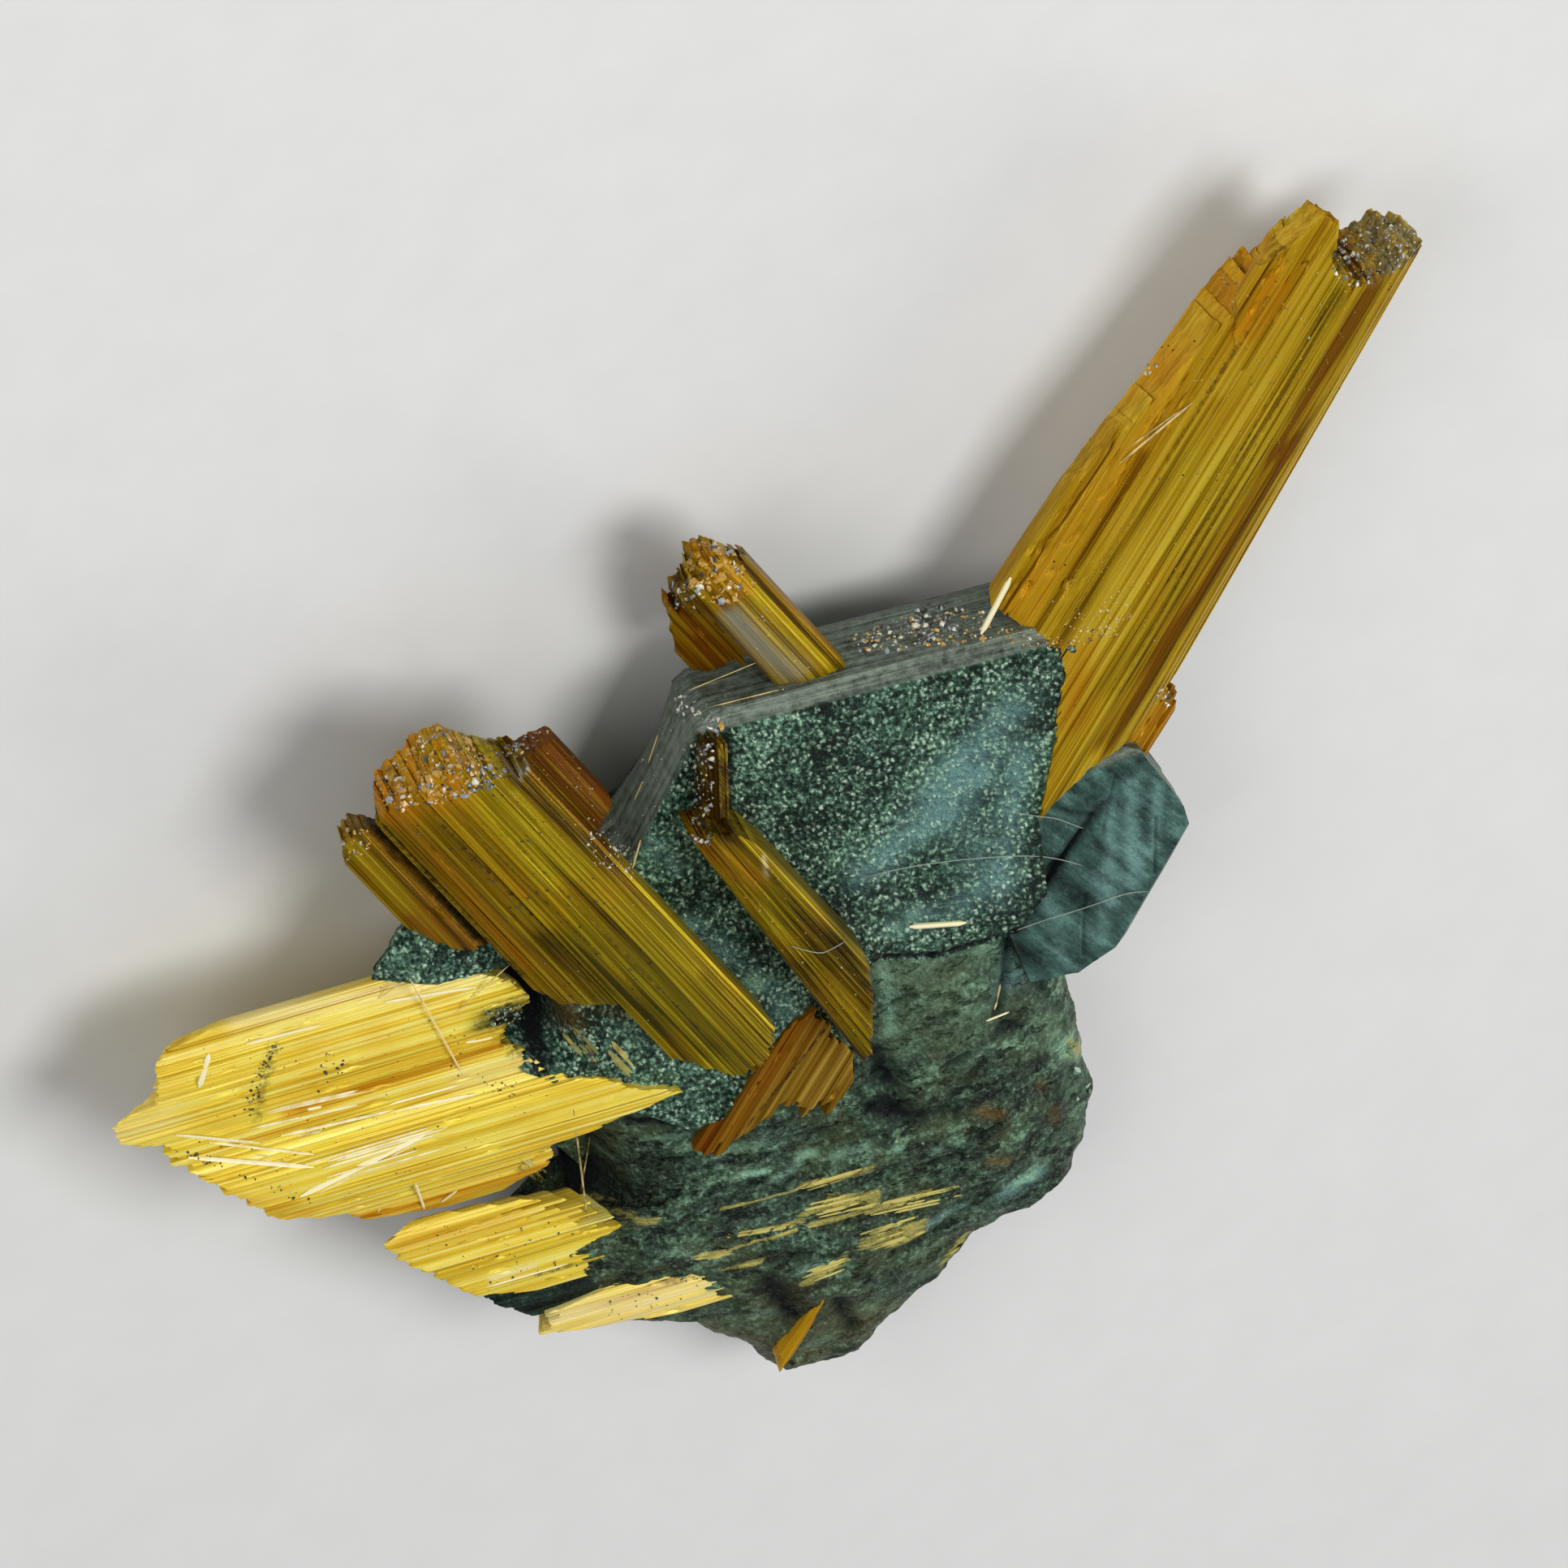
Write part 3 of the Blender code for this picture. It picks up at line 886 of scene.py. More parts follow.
@dataclass(frozen=True)
class RutileFinish:
    """Silky striated rutile, from its colours in shade and light to its stains."""

    name: str
    heading: float
    deep: Triple
    middle: Triple
    light: Triple
    amber: Triple = (0.42, 0.15, 0.008)
    amber_deep: Triple = (0.13, 0.03, 0.002)
    pale: Triple = (0.75, 0.66, 0.38)
    soil: Triple = (0.018, 0.016, 0.008)
    sheen: Triple = (0.36, 0.36, 0.27)
    moss: Triple = (0.10, 0.095, 0.012)
    roughness: float = 0.4
    specks: float = 0.5
    fine: float = 0.45
    broad: float = 0.45
    tone: float = 0.22
    lift: float = 0.5
    gloss: float = 0.06
    metal: float = 0.45

    def material(self) -> Material:
        """Build the material.

        Returns:
            A material whose striae follow the crystal's heading.
        """
        graph, material, shader, place = new_material(self.name)
        turned = graph.stretch(place, (1.0, 1.0, 1.0), -self.heading)
        striae = graph.group(GROUPS["striae"], vector=turned)
        specks = graph.group(GROUPS["specks"], vector=turned, amount=self.specks)
        fine = graph.maths("SUBTRACT", striae.outputs["Fine"], 0.5)
        broad = graph.maths("SUBTRACT", striae.outputs["Broad"], 0.5)
        shade = graph.scaled(fine, self.fine, self.lift)
        shade = graph.plus(shade, graph.times(broad, self.broad))
        shade = graph.plus(shade, graph.times(graph.paint(Layer.TONE), self.tone), True)
        colour = graph.ramp(shade, (self.deep, self.middle, self.light))
        cloud = graph.span(graph.noise(turned, 0.8, 3.0, 0.6), 0.42, 0.75, 0.0, 0.35)
        amber = graph.maths("MAXIMUM", graph.paint(Layer.AMBER), cloud, True)
        colour = graph.blend(amber, colour, graph.ramp(shade, (self.amber_deep, self.amber)))
        colour = graph.blend(graph.full(Layer.MOSS), colour, self.moss)
        # The sheen layer is painted sheen: a silver-grey reflection laid into the colour
        colour = graph.blend(graph.full(Layer.SHEEN), colour, self.sheen)
        colour = graph.blend(graph.full(Layer.PALE), colour, self.pale)
        grit = graph.noise(place, 9.0, 4.0, 0.7)
        # Soil marks: dark grit, and painted shade along the grooves and cracks between laths and crystals; the
        # dark specks join them below
        soil = graph.plus(graph.paint(Layer.SOIL), graph.span(grit, 0.35, 0.65, -0.35, 0.35))
        soil = graph.times(soil, graph.span(graph.paint(Layer.SOIL), 0.0, 0.15), True)
        dirt_and_shade = graph.maths("MAXIMUM", soil, graph.times(specks.outputs["Mask"], 0.9), True)
        colour = graph.blend(dirt_and_shade, colour, self.soil)
        rough = graph.scaled(fine, -0.22, self.roughness)
        rough = graph.plus(rough, graph.times(dirt_and_shade, 0.3), True)
        graph.feed(shader, base_color=colour, roughness=rough, metallic=self.metal)
        height = graph.plus(striae.outputs["Fine"], graph.times(grit, 0.35))
        graph.bump(shader, height, 0.45, 0.018)
        shader.inputs["Specular IOR Level"].default_value = self.gloss
        return material


@dataclass(frozen=True)
class HematiteFinish:
    """Dark hematite: pebbled on its crystal faces, lined on its edges, mottled where it is broken, with
    painted glints, sheen and shade.
    """

    name: str
    deep: Triple = (0.004, 0.014, 0.008)
    middle: Triple = (0.062, 0.145, 0.095)
    light: Triple = (0.30, 0.55, 0.37)
    # Colour of the painted glints on the humps' tops
    glint: Triple = (0.75, 0.98, 0.72)
    sheen: Triple = (0.19, 0.38, 0.36)
    moss: Triple = (0.12, 0.20, 0.12)
    pale: Triple = (0.30, 0.55, 0.38)
    amber: Triple = (0.16, 0.085, 0.008)
    soil: Triple = (0.003, 0.005, 0.006)
    straw: Triple = (0.56, 0.49, 0.12)
    straw_deep: Triple = (0.13, 0.135, 0.035)
    bare: Triple = (0.20, 0.25, 0.195)
    bare_deep: Triple = (0.016, 0.020, 0.013)
    heading: float = 0.0
    pebbles: float = 1.0
    glints: float = 1.0
    streaks: Triple = (1.0, 1.0, 1.0)
    contrast: float = 0.6
    mottle: float = 0.25
    roughness: float = 0.45
    metal: float = 0.35
    tinge: Triple = (0.09, 0.10, 0.035)
    tinged: float = 0.0
    pits: float = 0.0

    def material(self) -> Material:
        """Build the material.

        Returns:
            A material that mixes grain, streaks, edge lines and the painted stains, with painted glints, sheen
            and shade in its colour.
        """
        graph, material, shader, place = new_material(self.name)
        turned = graph.stretch(place, (1.0, 1.0, 1.0), -self.heading)
        pebbles = graph.group(GROUPS["pebbles"], vector=place)
        bare = graph.full(Layer.BARE)
        rough_part = graph.maths("SUBTRACT", 1.0, bare)
        streak = graph.noise(graph.stretch(turned, self.streaks), 1.0, 5.0, 0.65)
        cloud = graph.noise(place, 1.3, 4.0, 0.6)
        grit = graph.noise(place, 6.0, 5.0, 0.7)
        hump = graph.times(pebbles.outputs["Height"], rough_part)
        # The humps' height also runs the colour: lighter on the humps and darker between them, painted light
        # and shade on the grain
        shade = graph.times(hump, 0.9 * self.pebbles)
        half = self.contrast / 2
        shade = graph.plus(shade, graph.span(streak, 0.32, 0.68, 0.42 - half, 0.42 + half))
        shade = graph.plus(shade, graph.span(grit, 0.3, 0.7, -self.mottle, self.mottle))
        shade = graph.plus(shade, graph.span(cloud, 0.3, 0.7, -0.16, 0.16), True)
        colour = graph.ramp(shade, (self.deep, self.middle, self.light))
        patch = graph.noise(turned, 0.75, 4.0, 0.6)
        colour = graph.blend(graph.span(patch, 0.45, 0.7, 0.0, self.tinged), colour, self.tinge)
        # Pits are darkened in colour as well as sunk by the bump: painted shade in the pits
        pit = graph.noise(graph.stretch(turned, (1.0, 1.7, 1.0)), 2.2, 3.0, 0.65)
        hole = graph.span(pit, 0.56, 0.64, 0.0, self.pits)
        colour = graph.blend(hole, colour, self.deep)
        broken = graph.span(graph.plus(streak, graph.times(grit, 0.6)), 0.62, 0.95, 0.35, 1.15)
        # Moss is a real stain; the sheen layer is painted sheen, a blue-grey reflection laid into the colour
        for layer, share, tint in ((Layer.MOSS, 0.85, self.moss), (Layer.SHEEN, 0.8, self.sheen)):
            stain = graph.times(graph.paint(layer), broken, True)
            colour = graph.blend(graph.times(stain, share), colour, tint)
        # Painted glints: bright specks laid into the colour on the humps, standing in for light caught by the
        # grain
        glint = graph.times(graph.times(pebbles.outputs["Glint"], rough_part), self.glints)
        glint = graph.times(glint, graph.span(cloud, 0.3, 0.6, 0.5, 1.0), True)
        colour = graph.blend(glint, colour, self.glint)
        lines = graph.noise(graph.stretch(place, (0.3, 0.3, 15.0)), 1.0, 3.0, 0.6)
        edge = graph.span(lines, 0.3, 0.7, 0.2, 0.95)
        edge = graph.plus(edge, graph.span(grit, 0.3, 0.7, -0.4, 0.4), True)
        colour = graph.blend(bare, colour, graph.ramp(edge, (self.bare_deep, self.bare)))
        for layer, tint in ((Layer.PALE, self.pale), (Layer.AMBER, self.amber)):
            colour = graph.blend(graph.times(graph.paint(layer), broken, True), colour, tint)
        splinter = graph.noise(graph.stretch(turned, (1.1, 13.0, 5.0)), 1.0, 3.0, 0.6)
        straw = graph.plus(graph.paint(Layer.STRAW), graph.span(splinter, 0.3, 0.7, -0.45, 0.45))
        straw = graph.times(graph.span(straw, 0.3, 0.75), graph.span(graph.paint(Layer.STRAW), 0.05, 0.3))
        splints = graph.ramp(graph.span(splinter, 0.25, 0.7), (self.straw_deep, self.straw))
        colour = graph.blend(straw, colour, splints)
        # Soil marks: dark grit, and painted shade in the hollows and cracks that the mounds also sink
        dark = graph.plus(graph.paint(Layer.SOIL), graph.span(grit, 0.35, 0.65, -0.25, 0.25))
        dark = graph.times(dark, graph.span(graph.paint(Layer.SOIL), 0.0, 0.2), True)
        colour = graph.blend(dark, colour, self.soil)
        rough = graph.scaled(streak, 0.3, self.roughness - 0.15)
        rough = graph.plus(rough, graph.times(dark, 0.4), True)
        graph.feed(shader, base_color=colour, roughness=rough, metallic=self.metal)
        height = graph.times(hump, self.pebbles)
        height = graph.plus(height, graph.times(graph.plus(streak, grit), 0.7))
        height = graph.plus(height, graph.times(lines, bare))
        height = graph.maths("SUBTRACT", height, graph.times(hole, 2.0))
        graph.bump(shader, height, 1.0, 0.05)
        shader.inputs["Specular IOR Level"].default_value = 0.25
        return material


@dataclass(frozen=True)
class CrumbFinish:
    """Broken crystal: clear grey, white, orange or black, as its crumbs are painted."""

    name: str
    base: Triple = (0.22, 0.22, 0.21)
    pale: Triple = (0.70, 0.68, 0.55)
    amber: Triple = (0.55, 0.30, 0.025)
    soil: Triple = (0.02, 0.02, 0.015)
    sheen: Triple = (0.30, 0.34, 0.38)
    moss: Triple = (0.16, 0.27, 0.17)
    roughness: float = 0.16

    def material(self) -> Material:
        """Build the material.

        Returns:
            A glossy material whose colour is the crumb's own, broken up by a fine grain.
        """
        graph, material, shader, place = new_material(self.name)
        grain = graph.noise(place, 11.0, 3.0, 0.65)
        colour = graph.ramp(graph.span(grain, 0.3, 0.7), (tuple(c * 0.5 for c in self.base), self.base))
        for name in ("amber", "sheen", "moss", "pale", "soil"):
            share = graph.paint(Layer[name.upper()])
            share = graph.times(share, graph.span(grain, 0.3, 0.6, 0.7, 1.1), True)
            colour = graph.blend(share, colour, getattr(self, name))
        rough = graph.span(grain, 0.3, 0.7, self.roughness, self.roughness + 0.25)
        graph.feed(shader, base_color=colour, roughness=rough)
        graph.bump(shader, grain, 0.5, 0.02)
        shader.inputs["IOR"].default_value = 1.9
        return material


@dataclass(frozen=True)
class StrawFinish:
    """Loose needles and hair-thin fibres."""

    name: str
    colour: Triple
    tip: Triple
    roughness: float = 0.4

    def material(self) -> Material:
        """Build the material.

        Returns:
            A material that wavers between two tints.
        """
        graph, material, shader, place = new_material(self.name)
        grain = graph.noise(place, 3.0, 3.0, 0.6)
        share = graph.plus(graph.span(grain, 0.35, 0.65), graph.paint(Layer.TONE), True)
        rough = graph.span(grain, 0.3, 0.7, self.roughness - 0.1, self.roughness + 0.15)
        graph.feed(shader, base_color=graph.ramp(share, (self.tip, self.colour)), roughness=rough)
        return material


# ---- the picture's line of sight


@dataclass(frozen=True)
class Sight:
    """The camera's place, and the lines that run from it through points of the 1932 x 1932 picture."""

    side: float = 1932.0
    width: float = 24.15
    lens: float = 1000.0
    sensor: float = 36.0
    middle: Triple = (-0.675, 2.675, 3.0)

    @property
    def distance(self) -> float:
        """Distance from the camera to the middle of the view."""
        return self.width * self.lens / self.sensor

    @property
    def target(self) -> Array:
        """The middle of the view, found from its shifts to the right, up and back."""
        right, up, back = self.middle
        return right * SIGHT_RIGHT + up * SIGHT_UP + back * SIGHT_BACK

    @property
    def eye(self) -> Array:
        """The camera's place."""
        return self.target + self.distance * SIGHT_BACK

    def line(self, spot: Array) -> Array:
        """Return the unit direction from the eye through a point of the picture.

        Args:
            spot: The point, in pixels from the picture's top left corner.

        Returns:
            The direction, in the row frame.
        """
        step = self.width / self.side
        right = (spot[0] - self.side / 2) * step
        up = (self.side / 2 - spot[1]) * step
        way = right * SIGHT_RIGHT + up * SIGHT_UP - self.distance * SIGHT_BACK
        return way / np.linalg.norm(way)

    def camera(self) -> None:
        """Make the camera. Its lens is long, because the picture's edges run parallel."""
        data = bpy.data.cameras.new("camera")
        data.lens = self.lens
        data.sensor_width = self.sensor
        data.clip_start = 0.02
        data.clip_end = 10.0
        item = bpy.data.objects.new("camera", data)
        turn = Matrix(np.column_stack((SIGHT_RIGHT, SIGHT_UP, SIGHT_BACK)).tolist()).to_4x4()
        item.matrix_world = Matrix.Translation(Vector(self.eye * MM)) @ turn
        bpy.context.scene.collection.objects.link(item)
        bpy.context.scene.camera = item


class Carriers:
    """The finished crystals as search trees, so that small things can be set down on them."""

    def __init__(self, sight: Sight, pieces: list[Object]) -> None:
        """Build a tree for each piece.

        Args:
            sight: The picture's lines of sight.
            pieces: The crystals.
        """
        self.sight = sight
        graph = bpy.context.evaluated_depsgraph_get()
        self.trees = {piece.name: BVHTree.FromObject(piece, graph) for piece in pieces}

    def meet(self, spot: Array) -> tuple[Array, Array] | None:
        """Find the first surface on a line of sight.

        Args:
            spot: A point of the picture.

        Returns:
            The place and its normal, or None where the line meets nothing.
        """
        eye = Vector(self.sight.eye * MM)
        way = Vector(self.sight.line(spot))
        best = None
        for tree in self.trees.values():
            place, normal, _, far = tree.ray_cast(eye, way)
            if place is not None and (best is None or far < best[2]):
                best = (np.array(place) / MM, np.array(normal), far)
        return None if best is None else best[:2]

    def meet_all(self, spots: Array) -> tuple[Array, Array, Array]:
        """Find the surfaces on several lines of sight.

        Args:
            spots: Points of the picture, as (n, 2).

        Returns:
            Which points met a surface, their places and their normals.
        """
        found = [self.meet(spot) for spot in spots]
        kept = np.array([item is not None for item in found], bool)
        hits = np.array([item for item in found if item is not None]).reshape(-1, 2, 3)
        return kept, hits[:, 0], hits[:, 1]


# ---- crumbs, needles and fibres


@dataclass(frozen=True)
class Litter:
    """A patch of crumbs: where they lie in the picture, how many, how big, and their kinds."""

    patch: Outline
    count: int
    size: Pair
    kinds: tuple[tuple[Layer, float], ...]
    sink: float = 0.2

    def spots(self, source: np.random.Generator) -> Array:
        """Draw points inside the patch: points of its box, less those outside its outline."""
        points = np.array(self.patch, float)
        low, high = points.min(0), points.max(0)
        drawn = source.uniform(low, high, (self.count * 6, 2))
        after = np.roll(points, -1, axis=0)
        x, y = drawn[:, :1], drawn[:, 1:]
        spans = (points[:, 1] > y) != (after[:, 1] > y)
        rise = after[:, 1] - points[:, 1]
        rise = np.where(np.abs(rise) < 1e-9, 1e-9, rise)
        cross = points[:, 0] + (after[:, 0] - points[:, 0]) * (y - points[:, 1]) / rise
        inside = (spans & (x < cross)).sum(axis=1) % 2 == 1
        return drawn[inside][: self.count]


def crumb_shell(
    places: Array, sizes: Array, paint: Paint, source: np.random.Generator
) -> Shell:
    """Make crumbs: icosahedra whose corners are pushed in and out, flattened and turned at random.

    Args:
        places: Their middles, as (n, 3).
        sizes: Their half-widths.
        paint: One value for each crumb in each layer.
        source: Random numbers.

    Returns:
        One shell with 20 faces for each crumb.
    """
    gold = (1.0 + 5.0**0.5) / 2.0
    knobs = np.array(
        [(-1, gold, 0), (1, gold, 0), (-1, -gold, 0), (1, -gold, 0), (0, -1, gold), (0, 1, gold)]
        + [(0, -1, -gold), (0, 1, -gold), (gold, 0, -1), (gold, 0, 1), (-gold, 0, -1), (-gold, 0, 1)]
    ) / math.hypot(1.0, gold)
    faces = np.array(
        [(0, 11, 5), (0, 5, 1), (0, 1, 7), (0, 7, 10), (0, 10, 11), (1, 5, 9), (5, 11, 4), (11, 10, 2)]
        + [(10, 7, 6), (7, 1, 8), (3, 9, 4), (3, 4, 2), (3, 2, 6), (3, 6, 8), (3, 8, 9), (4, 9, 5)]
        + [(2, 4, 11), (6, 2, 10), (8, 6, 7), (9, 8, 1)]
    )
    count = len(places)
    shape = knobs[None] * source.uniform(0.6, 1.25, (count, 12, 1))
    shape = shape * source.uniform(0.5, 1.2, (count, 1, 3))
    spin = source.normal(size=(count, 4))
    spin /= np.linalg.norm(spin, axis=1, keepdims=True)
    axis, angle = spin[:, None, 1:], spin[:, None, :1]
    aside = 2.0 * np.cross(axis, shape)
    points = places[:, None] + sizes[:, None, None] * (shape + angle * aside + np.cross(axis, aside))
    wide = math.ceil(math.sqrt(count))
    cell = np.stack((np.arange(count) % wide, np.arange(count) // wide), -1)[:, None, None]
    slot = np.stack((np.arange(20) % 5 / 5.0, np.arange(20) // 5 / 4.0), -1)[None, :, None]
    corner = np.array([(0.02, 0.03), (0.18, 0.03), (0.1, 0.22)])[None, None]
    uv = (cell + 0.95 * (slot + corner)) / wide
    return Shell(
        points.reshape(-1, 3),
        (faces[None] + 12 * np.arange(count)[:, None, None]).ravel(),
        np.full(20 * count, 3),
        uv.reshape(-1, 2),
        {layer: np.repeat(values, 12) for layer, values in paint.items()},
    )


def rod_shell(
    paths: Array, ups: Array, radii: Array, flat: float, ring: int, tone: Array
) -> Shell:
    """Carry a flattened ring along paths, and narrow it to a blunt point at both ends.

    Args:
        paths: Middles of the rods, as (rods, stations, 3).
        ups: The way their tops face, as (rods, 3).
        radii: Their half-widths.
        flat: Thickness against width.
        ring: Points round each rod.
        tone: One painted value for each rod.

    Returns:
        The rods.
    """
    ahead = np.gradient(paths, axis=1)
    ahead /= np.linalg.norm(ahead, axis=2, keepdims=True)
    across = np.cross(ups[:, None], ahead)
    across /= np.linalg.norm(across, axis=2, keepdims=True)
    above = np.cross(ahead, across)
    around = 2.0 * np.pi * (np.arange(ring) + 0.5) / ring
    share = np.linspace(0.0, 1.0, paths.shape[1])
    taper = (np.minimum(share, 1.0 - share) * 12.0 + 0.35).clip(0.0, 1.0)
    girth = radii[:, None, None, None] * taper[None, :, None, None]
    skin = across[:, :, None] * np.cos(around)[:, None] + flat * above[:, :, None] * np.sin(around)[:, None]
    sections = paths[:, :, None] + girth * skin
    values = np.broadcast_to(tone[:, None, None], sections.shape[:3])
    return tube_shell(sections, {Layer.TONE: values})


@dataclass(frozen=True)
class Sliver:
    """Parallel splinters along a line of the picture: a loose needle, or an inlay of many."""

    start: Pair
    end: Pair
    radius: float
    tone: float
    flat: float = 0.8
    count: int = 1
    spread: float = 0.0
    short: float = 0.0
    lift: float = 0.6
    drape: bool = False

    def shell(self, carriers: Carriers, source: np.random.Generator) -> Shell | None:
        """Lay the splinters down on what carries them.

        Where it is draped, a splinter follows the surface; where it isn't, it is straight and
        rests on the two places under its ends.

        Args:
            carriers: The crystals.
            source: Random numbers.

        Returns:
            The splinters, or None where nothing carries them.
        """
        start, end = np.array(self.start, float), np.array(self.end, float)
        way = (end - start) / np.linalg.norm(end - start)
        aside = np.array((-way[1], way[0]))
        stations = 9 if self.drape else 2
        paths, ups = [], []
        for _ in range(self.count):
            shift = aside * source.uniform(-self.spread, self.spread)
            near, far = source.uniform(0.0, self.short, 2)
            share = np.linspace(near, 1.0 - far, stations)[:, None]
            kept, places, normals = carriers.meet_all(start + shift + share * (end - start))
            if not kept.all():
                continue
            up = normals.mean(0)
            paths.append(places)
            ups.append(up / max(np.linalg.norm(up), 1e-6))
        if not paths:
            return None
        grid = np.linspace(0.0, 1.0, 9)
        rows = np.array(paths)
        if self.drape:
            rows = smoothed(rows, 2)
        else:
            rows = rows[:, :1] + (rows[:, 1:] - rows[:, :1]) * grid[None, :, None]
        radii = self.radius * source.uniform(0.75, 1.25, len(rows))
        rows = rows + np.array(ups)[:, None] * (radii * self.lift)[:, None, None]
        tone = self.tone + source.normal(0.0, 0.15, len(rows))
        return rod_shell(rows, np.array(ups), radii, self.flat, 6, tone)


@dataclass(frozen=True)
class Fibre:
    """A hair-thin fibre that lies over the crystals along points of the picture."""

    spots: Outline
    radius: float = 0.008
    bow: float = 0.08

    def shell(self, carriers: Carriers) -> Shell | None:
        """Lay the fibre down, smooth it, and lift it in a low arch.

        Args:
            carriers: The crystals.

        Returns:
            The fibre, or None where nothing carries it.
        """
        points = np.array(self.spots, float)
        passed = passed_along(points)
        wanted = np.linspace(0.0, passed[-1], 48)
        line = np.stack([np.interp(wanted, passed, points[:, axis]) for axis in (0, 1)], -1)
        _, places, _ = carriers.meet_all(smoothed(line, 8))
        if len(places) < 8:
            return None
        places = smoothed(places, 10)
        arch = np.sin(np.pi * np.linspace(0.0, 1.0, len(places)))
        places[:, 2] += self.radius + self.bow * arch
        up = np.array([[0.0, 0.0, 1.0]])
        return rod_shell(places[None], up, np.array([self.radius]), 1.0, 5, np.array([0.5]))


# ---- rutile


@dataclass(frozen=True)
class Rutile:
    """A rutile crystal: one or more bands of laths on one heading, with its marks and finish."""

    node: str
    slot: Slot
    axis: Axis
    bands: tuple[Band, ...]
    finish: RutileFinish
    strokes: tuple[Stroke, ...] = ()

    def build(self) -> Object:
        """Build the bands as one piece that stands for the CAD node, and dress it."""
        shell = join_shells([band.shell(self.axis, self.strokes) for band in self.bands])
        return make_piece(self.node + "_laths", shell, self.finish.material(), self.node)


def marks(**lines: tuple[Six, ...]) -> tuple[Stroke, ...]:
    """Write strokes as layer=((x0, y0, x1, y1, width, strength), ...)."""
    return tuple(
        Stroke(Layer[name.upper()], row[:2], row[2:4], *row[4:])
        for name, rows in lines.items()
        for row in rows
    )


GOLD = RutileFinish("golden_rutile", SPEAR_HEADING, (0.13, 0.068, 0.001), (0.5, 0.33, 0.01),
    (0.8, 0.62, 0.06), amber=(0.74, 0.34, 0.008), amber_deep=(0.24, 0.075, 0.001))
OLIVE = RutileFinish("olive_rutile", PRISM_HEADING, (0.035, 0.02, 0.0003), (0.26, 0.185, 0.0015),
    (0.6, 0.47, 0.015), amber=(0.62, 0.27, 0.004), amber_deep=(0.16, 0.045, 0.0005), tone=0.3)
STRAW = RutileFinish("straw_rutile", FAN_HEADING, (0.5, 0.31, 0.008), (0.86, 0.68, 0.07), (0.96, 0.9, 0.3),
    amber=(0.82, 0.42, 0.012), amber_deep=(0.45, 0.16, 0.002), pale=(0.93, 0.82, 0.45), specks=0.6, tone=0.26,
    roughness=0.45, metal=0.2)
BROWN = RutileFinish("brown_rutile", WEDGE_HEADING, (0.045, 0.018, 0.001), (0.24, 0.13, 0.006),
    (0.5, 0.34, 0.05), amber=(0.45, 0.17, 0.008))
AMBER = RutileFinish("amber_rutile", SPEAR_HEADING, (0.12, 0.038, 0.0006), (0.48, 0.2, 0.003),
    (0.75, 0.46, 0.02))
UMBER = RutileFinish("umber_rutile", PRISM_HEADING, (0.03, 0.014, 0.0002), (0.19, 0.11, 0.0008),
    (0.42, 0.29, 0.006))
RUST = RutileFinish("rust_rutile", WEDGE_HEADING, (0.12, 0.045, 0.0006), (0.5, 0.25, 0.004), (0.78, 0.5, 0.02))

SPEAR_AXIS = Axis((-3.9, -3.3), SPEAR_HEADING)
STUB_AXIS = Axis((-1.6, -8.1), PRISM_HEADING)
PRISM_AXIS = Axis((1.3, -2.7), PRISM_HEADING)
BLADE_AXIS = Axis((0.3, -1.5), PRISM_HEADING)
WEDGE_AXIS = Axis((0.4, -1.0), WEDGE_HEADING)
FAN_AXIS = Axis((4.0, -4.0), FAN_HEADING)
SLIVER_AXIS = Axis((4.0, 5.0), WEDGE_HEADING)

